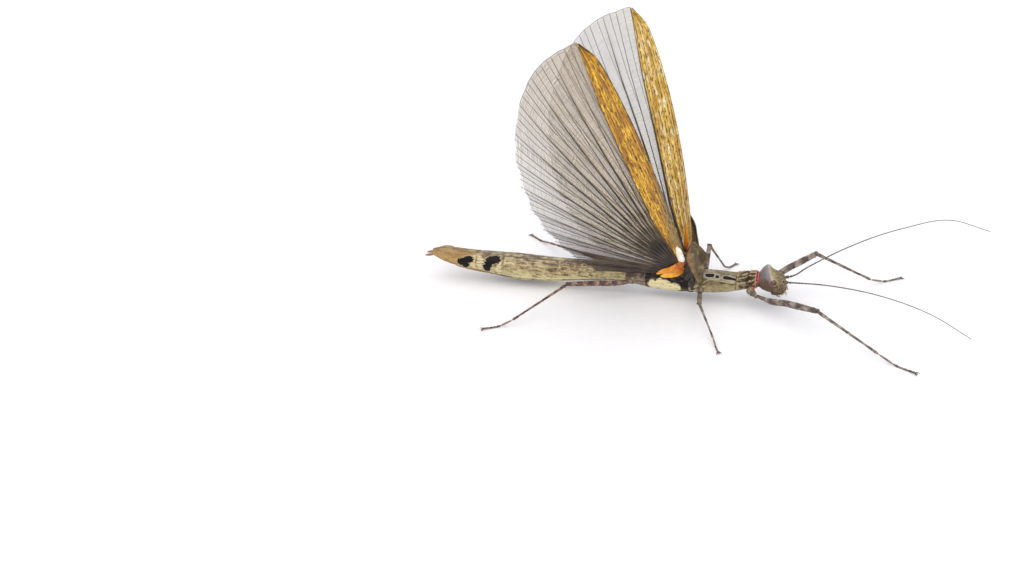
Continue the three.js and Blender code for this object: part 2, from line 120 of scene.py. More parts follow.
def body_rings(sections, places, swell, sides):
    """Rings of points round the body at each place along it. The first point is the back's middle."""
    rising = sections[::-1] if sections[0, 0] > sections[-1, 0] else sections
    middle, half_height, half_width = along_curve(rising[:, 0], rising[:, 1:], places).T
    angle = 2 * np.pi * np.arange(sides) / sides
    rise, side = np.cos(angle), -np.sin(angle)
    rise = np.sign(rise) * np.abs(rise) ** np.where(rise > 0, 0.96, 0.88)
    side = np.sign(side) * np.abs(side) ** 0.96
    rings = np.empty((len(places), sides, 3))
    rings[..., 0] = places[:, None]
    rings[..., 1] = (half_width * swell)[:, None] * side
    rings[..., 2] = middle[:, None] + (half_height * swell)[:, None] * rise
    return rings


def skin_faces(rows, columns):
    """Quads of a tube of rings, and a fan of triangles from a pole to each end ring."""
    ring, place = np.meshgrid(np.arange(rows - 1), np.arange(columns), indexing="ij")
    here = ring * columns + place
    there = ring * columns + (place + 1) % columns
    quads = np.stack([here, there, there + columns, here + columns], axis=-1).reshape(-1, 4)
    rim = [(place, (place + 1) % columns) for place in range(columns)]
    start_pole, last_ring = rows * columns, (rows - 1) * columns
    caps = [(start_pole, b, a) for a, b in rim]
    caps += [(start_pole + 1, a + last_ring, b + last_ring) for a, b in rim]
    return quads.tolist() + caps


def outward(points, faces):
    """The faces, all turned round if the closed skin they make is inside out."""
    corners = np.array([
        (face[0], face[step], face[step + 1]) for face in faces for step in range(1, len(face) - 1)
    ])
    a, b, c = (points[corners] - points.mean(0)).transpose(1, 0, 2)
    volume = np.einsum("ij,ij", a, np.cross(b, c))
    return faces if volume > 0 else [tuple(reversed(face)) for face in faces]


def make_piece(name, points, faces, surface, values):
    """A mesh object from points in mm, with one value for each point under each name given."""
    mesh = bpy.data.meshes.new(name)
    mesh.from_pydata((np.asarray(points) / 1000 + np.array(drawing_zero)).tolist(), [], faces)
    for key, numbers in values.items():
        layer = mesh.attributes.new(key, "FLOAT", "POINT")
        layer.data.foreach_set("value", np.asarray(numbers, np.float32).ravel())
    mesh.polygons.foreach_set("use_smooth", [True] * len(mesh.polygons))
    mesh.materials.append(surface)
    mesh.update()
    piece = bpy.data.objects.new(name, mesh)
    bpy.context.scene.collection.objects.link(piece)
    return piece


def finished(piece, slot, *nodes):
    """Joins a piece to the insect in place of the CAD nodes named, which it hides; slot is not used."""
    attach(piece, "root")
    if nodes:
        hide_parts(*nodes)
    return piece


def closed_skin(name, rings, surface, values=None):
    """A closed piece through rings of points, each end drawn to a pole."""
    rows, columns = rings.shape[:2]
    points = np.vstack([rings.reshape(-1, 3), rings[0].mean(0), rings[-1].mean(0)])
    faces = skin_faces(rows, columns)
    poled = {
        key: np.concatenate([np.ravel(grid), [np.mean(grid[0]), np.mean(grid[-1])]])
        for key, grid in (values or {}).items()
    }
    return make_piece(name, points, outward(points, faces), surface, poled)


def colour(code):
    """A hex colour as linear red, green, blue and an alpha of 1."""
    parts = [int(code[place:place + 2], 16) / 255 for place in (1, 3, 5)]
    return [p / 12.92 if p <= 0.04045 else ((p + 0.055) / 1.055) ** 2.4 for p in parts] + [1.0]


def add(tree, kind, inputs=None, stops=None, **settings):
    """Adds a node with its settings. Each input gets a value, or the node or socket that feeds it."""
    made = tree.nodes.new(kind)
    for key, value in settings.items():
        setattr(made, key, value)
    if stops:
        elements = made.color_ramp.elements
        while len(elements) < len(stops):
            elements.new(1)
        for element, (place, shade) in zip(elements, stops):
            element.position = place
            element.color = colour(shade) if isinstance(shade, str) else (shade,) * 3 + (1,)
    for key, value in (inputs or {}).items():
        socket = made.inputs[key] if isinstance(key, int) else next(
            s for s in made.inputs if s.enabled and s.name == key
        )
        if isinstance(value, bpy.types.Node):
            value = next(s for s in value.outputs if s.enabled)
        if isinstance(value, bpy.types.NodeSocket):
            tree.links.new(value, socket)
        else:
            socket.default_value = value
    return made


CUTICLE_IOR = 1.56  # chitin


def new_material(name, **fixed):
    """A material with one shader. The fixed settings are set on the shader's own sockets."""
    made = bpy.data.materials.new(name)
    made.use_nodes = True
    made.node_tree.nodes.clear()
    sockets = {key.replace("_", " "): value for key, value in fixed.items()}
    shader = add(made.node_tree, "ShaderNodeBsdfPrincipled", {"IOR": CUTICLE_IOR, **sockets})
    add(made.node_tree, "ShaderNodeOutputMaterial", {"Surface": shader})
    return made, made.node_tree, shader


def millimetres(tree, stretch=(1, 1, 1)):
    """The place on the piece in mm, so that a texture's scale is one over the size of its marks."""
    place = add(tree, "ShaderNodeTexCoord").outputs["Object"]
    return add(tree, "ShaderNodeMapping", {
        "Vector": place, "Scale": [1000 * amount for amount in stretch],
    })


def coated(tree, shader, shade, bumps, strength, height):
    """Gives a shader its colour, and bumps that stand so many mm high."""
    dents = add(tree, "ShaderNodeBump", {
        "Height": bumps, "Strength": strength, "Distance": height / 1000,
    })
    tree.links.new(next(s for s in shade.outputs if s.enabled), shader.inputs["Base Color"])
    tree.links.new(dents.outputs[0], shader.inputs["Normal"])


# Soft skin is matt, purple-brown and finely creased, with creases about 0.3 mm apart.
soft_skin, tree, shader = new_material("soft_joint_skin", Roughness=0.62)
creases = add(tree, "ShaderNodeTexNoise", {
    "Vector": millimetres(tree, (1, 0.3, 0.3)), "Scale": 3.0, "Detail": 4.0,
})
tint = add(tree, "ShaderNodeValToRGB", {"Fac": creases}, stops=[(0.3, "#2A201E"), (0.7, "#54403A")])
coated(tree, shader, tint, creases, 0.6, 0.08)

places = np.linspace(13.0, -59.4, 300)
under_skin = closed_skin(
    "under_skin", body_rings(TRUNK, places, np.full(len(places), 0.9), 48), soft_skin
)
finished(under_skin, "abdomen_shell")

# ---- Shell plates of the trunk ----
# Each plate is a ring of hard, dry cuticle: grained, wrinkled and keeled, with a rolled rear rim
# that slides over the next plate's front. Blotched in bark colours, with black and cream marks.


def lumps(points, size, seed):
    """Smooth random heights from -1 to 1 at points in mm, with lumps about as wide as the size."""
    cells = points / size
    corner = np.floor(cells).astype(np.int64)
    part = cells - corner
    part = part * part * (3 - 2 * part)
    height = np.zeros(points.shape[:-1])
    for shift in np.ndindex(2, 2, 2):
        x, y, z = np.moveaxis(corner + shift, -1, 0)
        mixed = (x * 73856093) ^ (y * 19349663) ^ (z * 83492791) ^ (seed * 40503)
        mixed = (mixed ^ (mixed >> 13)) * 1274126177
        value = ((mixed ^ (mixed >> 16)) & 0xFFFF) / 32767.5 - 1
        height += value * np.prod(np.where(shift, part, 1 - part), axis=-1)
    return height


def raised(rings, height):
    """The rings with each point moved out along the surface by a height in mm."""
    along = np.gradient(rings, axis=0)
    around = np.roll(rings, -1, axis=1) - np.roll(rings, 1, axis=1)
    normal = np.cross(around, along)
    normal /= np.maximum(np.linalg.norm(normal, axis=-1, keepdims=True), 1e-9)
    outwards = np.sum(normal * (rings - rings.mean(axis=1, keepdims=True)), axis=-1).mean()
    return rings + normal * height[..., None] * (1 if outwards > 0 else -1)


def line(value, centre, width):
    """1 on a line and falling to 0 beside it."""
    return np.exp(-(((value - centre) / width) ** 2))


def between(value, low, high, edge):
    """1 from low to high, with soft edges."""
    return np.clip((value - low) / edge + 0.5, 0, 1) * np.clip((high - value) / edge + 0.5, 0, 1)


def mark_distance(x, arc, strokes):
    """Distance in mm from the nearest mark. A mark is a stroke: x and degrees down from the back's
    middle at both ends, then half its thickness."""
    nearest = np.full(x.shape, 9.0)
    for x0, down0, x1, down1, half in strokes:
        start = np.array([x0, down0 * ARC])
        step = np.array([x1, down1 * ARC]) - start
        offset = np.stack([x, arc], axis=-1) - start
        share = np.clip(offset @ step / max(step @ step, 1e-9), 0, 1)
        gap = np.linalg.norm(offset - share[..., None] * step, axis=-1) - half
        nearest = np.minimum(nearest, gap)
    return nearest


ARC = 0.043  # mm round the body for each degree
PLATE_SIDES = 160
ROWS_PER_MM = 9.5
LIP = 0.34  # how far a plate's rolled rear rim reaches over the next plate


def abdomen_relief(x, down, t, points):
    """Keel, side fold, breathing hole, lengthwise wrinkles and grains of an abdomen ring."""
    height = 0.07 * line(down, 0, 2.2) * between(t, 0.08, 0.97, 0.1)
    height += 0.10 * line(down, 112, 5) - 0.10 * line(down, 122, 5)
    height += 0.04 * line(down, 52, 3) * between(t, 0.1, 0.9, 0.2)
    height += 0.05 * lumps(points * (0.35, 1, 1), 0.34, 3) * between(down, 8, 150, 20)
    height += 0.035 * lumps(points * (1, 0.6, 0.6), 0.42, 5) * line(t, 0.9, 0.12)
    height += 0.09 * np.clip(lumps(points, 0.3, 9) - 0.45, 0, 1)
    hole = np.hypot((t - 0.13) * 6.8, (down - 100) * ARC)
    height += 0.07 * line(hole, 0.26, 0.08) - 0.12 * line(hole, 0, 0.13)
    # The last two rings are narrow and end in a rough crest.
    crest = np.clip((-x - 54) / 3, 0, 1)
    crest *= np.clip((x + 61.6) / 2.2, 0, 1)
    height += crest * (0.2 * line(down, 24, 16) + 0.16 * lumps(points * (0.7, 1, 1), 0.9, 7))
    height += 0.13 * lumps(points * (0.4, 0.8, 0.8), 1.6, 8) * between(t, 0.06, 0.94, 0.1)
    return height


def prothorax_relief(x, down, t, points):
    """The neck shield: raised edges, paired ridges with deep grooves between, and a cross furrow."""
    down = down + 8 * lumps(points * (0.8, 1, 1), 0.9, 13) + 4.5 * (x - 10.5)
    height = 0.12 * line(down, 15, 4) + 0.15 * line(down, 40, 4.5) + 0.10 * line(down, 72, 5)
    height -= 0.08 * line(down, 0, 3) + 0.12 * line(down, 27, 5) + 0.10 * line(down, 56, 5)
    height += 0.12 * lumps(points * (0.7, 1, 1), 0.8, 14)
    height -= 0.15 * line(t, 0.42, 0.035) * between(down, -1, 62, 10)
    height *= between(t, 0.07, 0.93, 0.08)
    height += 0.13 * line(t, 0.05, 0.03) + 0.15 * line(t, 0.93, 0.035)
    height += 0.09 * lumps(points, 0.38, 11) + 0.14 * np.clip(lumps(points, 0.26, 12) - 0.4, 0, 1)
    return height


def mesothorax_relief(x, down, t, points):
    """Flat grained back with a middle keel, a curved ridge along each side, wrinkled flanks."""
    ridge = along_curve([-1.7, 1.0, 2.2, 4.5, 8.6], [104, 78, 57, 58, 74], x)
    ridge = ridge + 5 * lumps(points * (0.7, 0.2, 0.2), 1.0, 24)
    height = 0.09 * line(down, 0, 2) + 0.10 * line(down, ridge, 5) - 0.10 * line(down, ridge + 9, 5)
    height -= 0.05 * between(down, 6, ridge - 8, 10)
    height += 0.12 * line(down, 118, 5) - 0.08 * line(down, 128, 5)
    flank = between(down, ridge + 6, 112, 10)
    height += 0.09 * flank * lumps(points * (0.35, 1, 1.3), 0.45, 21)
    height += 0.05 * lumps(points, 0.4, 22) + 0.12 * np.clip(lumps(points, 0.24, 23) - 0.42, 0, 1)
    return height + 0.08 * line(t, 0.97, 0.02)


def metathorax_relief(x, down, t, points):
    """Wing-bearing ring: a hollow under each wing hinge, side folds and a swelling over the hind hip."""
    height = 0.08 * line(down, 0, 3) - 0.3 * np.exp(-(((x + 3.4) / 1.5) ** 2) - ((down - 72) / 26) ** 2)
    height += 0.16 * line(down, 92 + 2.2 * (x + 6), 4) * between(t, 0.22, 0.94, 0.1)
    height += 0.15 * np.exp(-(((x + 7.6) / 2.6) ** 2) - ((down - 112) / 20) ** 2)
    height += 0.11 * line(down, 134, 5) + 0.06 * lumps(points * (0.5, 1, 1), 0.4, 31)
    return height + 0.1 * np.clip(lumps(points, 0.27, 32) - 0.42, 0, 1)


def painted(tree, shade, layers, within=None):
    """Lays colours over a shade, one after another. A layer is what decides where it goes, how much
    of it there is at stops of that, and its colour. Within keeps them to a part of the piece."""
    for source, stops, tone in layers:
        amount = add(tree, "ShaderNodeValToRGB", {"Fac": source}, stops=stops)
        if within:
            amount = add(tree, "ShaderNodeMath", {0: amount, 1: within}, operation="MULTIPLY")
        over = colour(tone) if isinstance(tone, str) else tone
        shade = add(tree, "ShaderNodeMix", {"Factor": amount, "A": shade, "B": over}, data_type="RGBA")
    return shade


def ragged(tree, distance, noise, amount):
    """A distance whose contours wander with a noise, by about so much."""
    wander = add(tree, "ShaderNodeMath", {0: noise, 1: -0.5}, operation="ADD")
    return add(tree, "ShaderNodeMath", {0: wander, 1: amount, 2: distance}, operation="MULTIPLY_ADD")


# Bark-like cuticle is hard, dry and unpolished, so it has only a dull, broken shine.
def bark_cuticle(name, bands, streak, crest, dark_and_groove_shade, halo="#C4B48C", patch="#D9CBA0",
                 rear_bands=None, frayed=0.25):
    """A plate's colours: bands from back to belly, streaked lengthwise, with painted highlight on the
    ridges and painted shade in the grooves, small dots, black marks with pale borders, and pale
    patches. Rear bands take over towards the tail. Marks are frayed lengthwise by about so many mm."""
    made, tree, shader = new_material(name, Roughness=0.46, Specular_IOR_Level=0.2)
    place = millimetres(tree)
    value = {
        key: add(tree, "ShaderNodeAttribute", attribute_name=key).outputs["Fac"]
        for key in ("down", "relief", "tail", "mark", "patch")
    }
    blotches = add(tree, "ShaderNodeTexNoise", {"Vector": place, "Scale": 0.9, "Detail": 5.0})
    # Cuticle grains stand about 0.15 mm apart.
    grain = add(tree, "ShaderNodeTexNoise", {"Vector": place, "Scale": 6.0, "Detail": 3.0})
    streaks = add(tree, "ShaderNodeTexNoise", {
        "Vector": millimetres(tree, (0.22, 1, 1)), "Scale": 2.3, "Detail": 5.0, "Roughness": 0.62,
    })
    dots = add(tree, "ShaderNodeTexVoronoi", {"Vector": place, "Scale": 1.5})

    down = ragged(tree, value["down"], blotches, 0.34)
    shade = add(tree, "ShaderNodeValToRGB", {"Fac": down}, stops=bands)
    shade = painted(tree, shade, [
        (streaks, ((0.52, 0.0), (0.6, 0.85)), streak),
        (streaks, ((0.36, 0.75), (0.45, 0.0)), crest),
        (blotches, ((0.58, 0.0), (0.66, 0.55)), dark_and_groove_shade),
        (blotches, ((0.34, 0.6), (0.42, 0.0)), crest),
        (grain, ((0.3, 0.5), (0.5, 0.0)), streak),
        (grain, ((0.55, 0.0), (0.75, 0.3)), crest),
        # Painted highlight where the relief stands high and painted shade where it sinks into grooves.
        (value["relief"], ((0.56, 0.0), (0.8, 0.8)), crest),
        (value["relief"], ((0.16, 0.85), (0.42, 0.0)), dark_and_groove_shade),
    ])
    if rear_bands:
        tanned = ragged(tree, value["tail"], blotches, 0.6)
        rear = add(tree, "ShaderNodeValToRGB", {"Fac": down}, stops=rear_bands)
        shade = painted(tree, shade, [(tanned, ((0.2, 0.0), (0.6, 0.72)), rear)])
    cream = painted(tree, colour(patch), [
        (grain, ((0.35, 0.5), (0.5, 0.0)), "#A8966A"),
        (streaks, ((0.52, 0.0), (0.62, 0.75)), "#7E6E4A"),
    ])
    patched = ragged(tree, ragged(tree, value["patch"], blotches, 0.7), streaks, 2 * frayed)
    marked = ragged(tree, ragged(tree, value["mark"], blotches, 0.25), streaks, 3 * frayed)
    shade = painted(tree, shade, [
        (dots.outputs["Distance"], ((0.1, 0.8), (0.2, 0.0)), dark_and_groove_shade),
        (patched, ((0.0, 0.95), (0.3, 0.0)), cream),
        (marked, ((0.15, 0.5), (0.7, 0.0)), halo),
        (marked, ((0.05, 1.0), (0.14, 0.0)), "#070404"),
    ])
    coated(tree, shader, shade, grain, 0.5, 0.05)
    rough = add(tree, "ShaderNodeValToRGB", {"Fac": grain}, stops=[(0.3, 0.38), (0.7, 0.6)])
    tree.links.new(rough.outputs[0], shader.inputs["Roughness"])
    return made


abdomen_cuticle = bark_cuticle(
    "abdomen_cuticle",
    [(0.0, "#75685A"), (0.17, "#7E6C5A"), (0.27, "#8C785E"), (0.36, "#94805E"), (0.44, "#A8956A"),
     (0.52, "#BDB083"), (0.62, "#C4BA8C"), (0.74, "#A39868"), (0.86, "#7A6E4C"), (1.0, "#6E6348")],
    streak="#4E3A24", crest="#D6C898", dark_and_groove_shade="#33241A", frayed=0.7,
    rear_bands=[(0.0, "#86683E"), (0.3, "#A47C48"), (0.5, "#BC925C"), (0.62, "#A06E3C"),
                (1.0, "#80562E")],
)
prothorax_cuticle = bark_cuticle(
    "prothorax_cuticle",
    [(0.0, "#5C4C34"), (0.3, "#493925"), (0.45, "#53422D"), (0.6, "#625038"), (1.0, "#504030")],
    streak="#2C2017", crest="#B5A27C", dark_and_groove_shade="#120C08",
)
mesothorax_cuticle = bark_cuticle(
    "mesothorax_cuticle",
    [(0.0, "#7C765E"), (0.13, "#8A846C"), (0.2, "#938D76"), (0.31, "#7A7052"), (0.4, "#80734F"),
     (0.48, "#8C7D58"), (0.58, "#A89A70"), (0.66, "#A89A74"), (0.75, "#7C6F50"), (1.0, "#6E634A")],
    streak="#5C4C34", crest="#B5A880", dark_and_groove_shade="#40331F", halo="#C8C2B0",
)
metathorax_cuticle = bark_cuticle(
    "metathorax_cuticle",
    [(0.0, "#40352A"), (0.25, "#1C1411"), (0.45, "#140E0C"), (0.6, "#3A2E22"), (0.75, "#857652"),
     (1.0, "#7A6C4A")],
    streak="#120C0A", crest="#6E5C42", dark_and_groove_shade="#080505", patch="#F0E2B0",
)
median_cuticle = bark_cuticle(
    "median_segment_cuticle",
    [(0.0, "#6C5C50"), (0.3, "#6A5850"), (0.5, "#75635A"), (0.66, "#8E7F62"), (1.0, "#7A7054")],
    streak="#3E302B", crest="#A8967A", dark_and_groove_shade="#2A201D",
)

# Plates from front to rear: name, both ends, relief, material, black marks, pale patches.
PLATES = [
    ("prothorax", 12.9, 8.7, prothorax_relief, prothorax_cuticle, [], []),
    ("mesothorax", 8.5, -1.6, mesothorax_relief, mesothorax_cuticle,
     [(2.0, 30, 3.1, 30, 0.36), (4.25, 34, 4.35, 34, 0.34), (5.9, 36, 6.3, 37, 0.34),
      (6.3, 37, 8.4, 48, 0.24)], []),
    ("metathorax", -1.8, -11.4, metathorax_relief, metathorax_cuticle, [],
     [(-9.9, 106, -4.9, 108, 1.0), (-8.3, 88, -6.6, 96, 0.9)]),
    ("median_segment", -11.6, -15.9, abdomen_relief, median_cuticle, [], []),
    ("abdomen_2", -16.1, -22.8, abdomen_relief, abdomen_cuticle, [], []),
    ("abdomen_3", -23.0, -29.9, abdomen_relief, abdomen_cuticle, [], []),
    ("abdomen_4", -30.1, -37.1, abdomen_relief, abdomen_cuticle, [], []),
    ("abdomen_5", -37.3, -44.5, abdomen_relief, abdomen_cuticle, [], []),
    ("abdomen_6", -44.7, -50.8, abdomen_relief, abdomen_cuticle,
     [(-48.4, 92, -47.9, 70, 0.75), (-47.6, 52, -46.2, 38, 0.85)],
     [(-50.0, 88, -50.0, 55, 0.6), (-45.6, 86, -45.2, 62, 0.6)]),
    ("abdomen_7", -51.0, -56.2, abdomen_relief, abdomen_cuticle,
     [(-54.7, 88, -52.4, 58, 0.72), (-53.6, 100, -53.4, 84, 0.6)], [(-51.5, 90, -51.4, 50, 0.6)]),
    ("abdomen_tip", -56.4, -61.7, abdomen_relief, abdomen_cuticle, [], []),
]


def degrees_down(sides):
    """How far round each point of a ring lies from the back's middle, 0 to 180 degrees."""
    return np.abs((np.arange(sides) * 360 / sides + 180) % 360 - 180)


def trunk_plate(name, front, rear, relief, surface, marks, patches):
    """A plate from just inside the one before it to its rolled rim over the one behind it."""
    tip = name == "abdomen_tip_plate"
    t = np.linspace(0, 1, int((front - rear) * ROWS_PER_MM))
    end = rear if tip else rear - LIP
    x = front + (end - front) * t
    swell = 0.97 + 0.03 * np.clip(t / 0.12, 0, 1) ** 0.5 + 0.012 * np.sin(np.pi * t)
    if tip:
        swell = swell * (1 - 0.35 * t**6)
    else:
        swell = swell + 0.005 * between(t, 0.955, 1.2, 0.02)
    rings = body_rings(TRUNK, x, swell, PLATE_SIDES)
    down = np.broadcast_to(degrees_down(PLATE_SIDES), rings.shape[:2])
    wide_x, wide_t = (np.broadcast_to(row[:, None], down.shape) for row in (x, t))
    height = relief(wide_x, down, wide_t, rings)
    height = height * between(wide_t, 0.02, 2, 0.04)
    body = raised(rings, height)
    # The rolled ends: in front the plate tucks in, behind it turns under its own rim.
    tuck_places, tuck_widths = np.array([front - 0.5, front]), np.array([0.7, 0.9])
    front_tuck = body_rings(TRUNK, tuck_places, tuck_widths, PLATE_SIDES)
    rolled = ((0.975, -0.03), (0.95, 0.02), (0.92, 0.3), (0.5, 0.5))
    if tip:
        rolled = ((0.92, -0.12), (0.75, -0.2), (0.5, -0.22), (0.2, -0.2))
    centre = body[-1].mean(0)
    rear_tuck = [centre + (body[-1] - centre) * share + (dx, 0, 0) for share, dx in rolled]
    whole = np.concatenate([front_tuck, body, rear_tuck])
    before, after = len(front_tuck), len(rear_tuck)
    pad = lambda grid: np.pad(grid, ((before, after), (0, 0)), mode="edge")
    arc = down * ARC
    return closed_skin(name, whole, surface, {
        "down": pad(down / 180),
        # The tip's relief is held at 0.44 or more, which keeps the painted groove shade off its end.
        "relief": pad(np.clip(0.5 + height / 0.36, 0.44 if tip else 0, 1)),
        "tail": pad(np.clip((-wide_x - 47) / 10, 0, 1)),
        "mark": pad(mark_distance(wide_x, arc, marks)),
        "patch": pad(mark_distance(wide_x, arc, patches)),
    })


THORAX = ("prothorax", "mesothorax", "metathorax", "median_segment")
for plate_name, *facts in PLATES:
    plate = trunk_plate(f"{plate_name}_plate", *facts)
    finished(plate, "thorax_shell" if plate_name in THORAX else "abdomen_shell", plate_name)

# ---- Neck ----
# A soft, bare cuff between head and neck shield, bright warning red and creased all round.
# Neck skin is moist and soft, and light sinks into it a little, which warms its red.
neck_skin, tree, shader = new_material(
    "red_neck_skin", Roughness=0.42, Subsurface_Weight=0.15, Subsurface_Scale=0.0004
)
# The red is painted pale pink on the crests of the creases and darker red in their troughs: painted
# highlight and painted shade.
folds = add(tree, "ShaderNodeAttribute", attribute_name="relief")
mottle = add(tree, "ShaderNodeTexNoise", {"Vector": millimetres(tree), "Scale": 2.2, "Detail": 4.0})
mixed = add(tree, "ShaderNodeMath", {
    0: mottle, 1: 0.4, 2: folds.outputs["Fac"],
}, operation="MULTIPLY_ADD")
tint = add(tree, "ShaderNodeValToRGB", {"Fac": mixed},
           stops=[(0.25, "#7A0E16"), (0.6, "#CC1A2C"), (1.0, "#F0606C")])
# Only the upper half is bright; the skin under the throat is dull brown.
round_from_back = add(tree, "ShaderNodeAttribute", attribute_name="down").outputs["Fac"]
tint = painted(tree, tint, [(round_from_back, ((0.46, 0.0), (0.54, 1.0)), "#55433A")])
coated(tree, shader, tint, mottle, 0.5, 0.06)

CREASE = 0.36  # mm between creases
x = np.linspace(13.95, 12.2, 60)
rings = body_rings(TRUNK, np.clip(x, None, 13.6), np.full(len(x), 0.93), PLATE_SIDES)
rings[..., 0] = x[:, None]
wander = lumps(rings * (0.4, 1, 1), 1.3, 41)
fold = np.cos(2 * np.pi * (x[:, None] / CREASE + 0.5 * wander))
neck = closed_skin("neck_cuff", raised(rings, 0.055 * fold + 0.03 * lumps(rings, 0.3, 42)), neck_skin, {
    "relief": 0.5 + 0.4 * fold,
    "down": np.broadcast_to(degrees_down(PLATE_SIDES) / 180, rings.shape[:2]),
})
finished(neck, "neck_band", "neck")

# The skin at the fore hips is red too: a small pad beside each, under the edge of the shield.
SIDES = (("left", 1), ("right", -1))
for side, sign in SIDES:
    turn = np.linspace(0, 2 * np.pi, 24, endpoint=False)
    steps = np.linspace(-0.98, 0.98, 14)
    rings = np.stack([
        np.array([12.0, sign * 1.8, 4.65]) + np.stack([
            0.62 * step * np.ones(24),
            0.42 * np.sqrt(1 - step**2) * np.cos(turn),
            0.34 * np.sqrt(1 - step**2) * np.sin(turn),
        ], axis=-1) for step in steps
    ])
    pad = closed_skin(f"fore_hip_skin_{side}", raised(rings, 0.03 * lumps(rings, 0.25, 43)),
                      neck_skin, {"relief": 0.5 + 0.4 * lumps(rings, 0.4, 44)})
    finished(pad, "neck_band")

# ---- Head ----
# One hard capsule: a smooth grey helmet rises to a crest behind the eyes, and the face in front
# falls steeply and is grained like bark. Raised rims hold the eyes and the antennae's sockets.
HEAD = np.array([
    (13.4, 6.05, 1.85, 1.75), (14.1, 6.3, 2.6, 2.0), (15.1, 6.45, 3.15, 2.15),
    (15.8, 6.1, 2.95, 2.25), (16.8, 5.75, 2.55, 2.3), (17.7, 5.5, 2.35, 2.15),
    (18.4, 5.2, 2.0, 1.8), (18.9, 4.95, 1.5, 1.3), (19.15, 4.8, 1.0, 0.8),
])
EYE_MIDDLE = np.array([16.6, 2.02, 6.45])
EYE_SIZE = np.array([0.72, 0.5, 0.68])
SOCKET = np.array([18.3, 1.0, 6.3])  # where an antenna leaves the head
HEAD_SIDES = 200

x = np.linspace(13.42, 19.15, 130)
rings = body_rings(HEAD, x, np.ones(len(x)), HEAD_SIDES)
nose = rings[-1].mean(0)
front = [nose + (rings[-1] - nose) * s + (dx, 0, 0)
         for s, dx in ((0.85, 0.05), (0.62, 0.1), (0.35, 0.13), (0.12, 0.14))]
rings = np.concatenate([rings, front])
down = np.broadcast_to(degrees_down(HEAD_SIDES), rings.shape[:2])
place = np.stack([rings[..., 0], np.abs(rings[..., 1]), rings[..., 2]], axis=-1)
hx, hz = rings[..., 0], rings[..., 2]
to_eye = np.linalg.norm((place - EYE_MIDDLE) / EYE_SIZE, axis=-1)
to_socket = np.linalg.norm(place - SOCKET, axis=-1)
face = np.clip((hx - 16.7) / 0.8, 0, 1)
brow = 15.2 + 1.5 * np.clip(down / 85, 0, 1) ** 1.3  # where the helmet ends and the face begins
height = 0.13 * line(hx, brow, 0.17) * between(down, -1, 84, 14)
height -= 0.07 * line(hx, 16.0, 0.55) * between(down, -1, 50, 20)
height -= 0.07 * line(down, 0, 2.6) * between(hx, 13.9, 17.4, 0.6)
height += 0.14 * line(to_eye, 1.16, 0.13) - 0.12 * np.clip(1 - to_eye / 0.9, 0, 1)
height -= 0.09 * line(down, 94 - 4 * (hx - 14.5), 4) * between(hx, 13.9, 15.8, 0.4)
height += 0.17 * line(to_socket, 0.52, 0.1) - 0.25 * np.clip(1 - to_socket / 0.42, 0, 1)
height += 0.08 * line(down, 0, 7) * between(hx, 17.3, 19.4, 0.5)
height -= 0.09 * line(hz, 4.55, 0.09) * between(hx, 17.9, 19.5, 0.3)
height -= 0.08 * line(hz + 0.35 * (hx - 17), 5.0, 0.1) * between(hx, 15.4, 17.9, 0.5)
height += face * (0.045 * lumps(rings, 0.34, 51) + 0.11 * np.clip(lumps(rings, 0.22, 52) - 0.3, 0, 1))
height += (1 - face) * 0.02 * lumps(rings, 0.6, 53)
height *= between(hx, 13.5, 30, 0.2)

# Head cuticle is hard and close-grained, smoother than the trunk, so it shines a little more.
head_cuticle, tree, shader = new_material("head_cuticle", Roughness=0.4, Specular_IOR_Level=0.45)
where = millimetres(tree)
value = {
    key: add(tree, "ShaderNodeAttribute", attribute_name=key).outputs["Fac"]
    for key in ("length", "down", "relief", "socket")
}
blotches = add(tree, "ShaderNodeTexNoise", {"Vector": where, "Scale": 1.5, "Detail": 4.0})
grain = add(tree, "ShaderNodeTexNoise", {"Vector": where, "Scale": 7.0, "Detail": 3.0})
# The face's real grains are under 0.1 mm and would not show, so larger clusters carry the colour.
clusters = add(tree, "ShaderNodeTexNoise", {
    "Vector": where, "Scale": 2.4, "Detail": 5.0, "Roughness": 0.7,
})
wander = add(tree, "ShaderNodeMath", {0: blotches, 1: 0.16, 2: value["length"]}, operation="MULTIPLY_ADD")
shade = add(tree, "ShaderNodeValToRGB", {"Fac": wander}, stops=[
    (0.1, "#665F62"), (0.45, "#7E7678"), (0.55, "#8C8482"), (0.6, "#C2B8A4"), (0.66, "#A9A080"),
    (0.76, "#94885F"), (1.0, "#71603F"),
])
# Below the eyes the head turns brown, and its underside is painted near black as painted shade.
below = add(tree, "ShaderNodeMath", {0: blotches, 1: 0.2, 2: value["down"]}, operation="MULTIPLY_ADD")
shade = painted(tree, shade, [
    (below, ((0.48, 0.0), (0.58, 0.92)), "#573C22"),
    (below, ((0.78, 0.0), (0.88, 0.95)), "#2C1D14"),
])
# The helmet is smooth and even, so grains colour only the face.
on_face = add(tree, "ShaderNodeValToRGB", {"Fac": value["length"]}, stops=[(0.5, 0.1), (0.56, 1.0)])
shade = painted(tree, shade, [
    (clusters, ((0.53, 0.0), (0.64, 0.6)), "#C6B48C"),
    (clusters, ((0.36, 0.8), (0.46, 0.0)), "#43301A"),
], within=on_face)
# Painted highlight where the relief stands high, painted shade in its hollows, and dark brown in each
# antenna's socket.
shade = painted(tree, shade, [
    (value["relief"], ((0.62, 0.0), (0.9, 0.5)), "#B8AA84"),
    (value["relief"], ((0.12, 0.85), (0.36, 0.0)), "#3A2C20"),
    (value["socket"], ((0.3, 0.9), (0.55, 0.0)), "#4A2F1E"),
])
coated(tree, shader, shade, grain, 0.4, 0.04)

head = closed_skin("head_capsule", raised(rings, height), head_cuticle, {
    "length": np.clip(0.5 + (hx - brow) / 4.4, 0, 1),
    "down": down / 180,
    "relief": np.clip(0.5 + height / 0.4, 0, 1),
    "socket": np.clip(to_socket, 0, 1),
})
finished(head, "head_shell", "head")

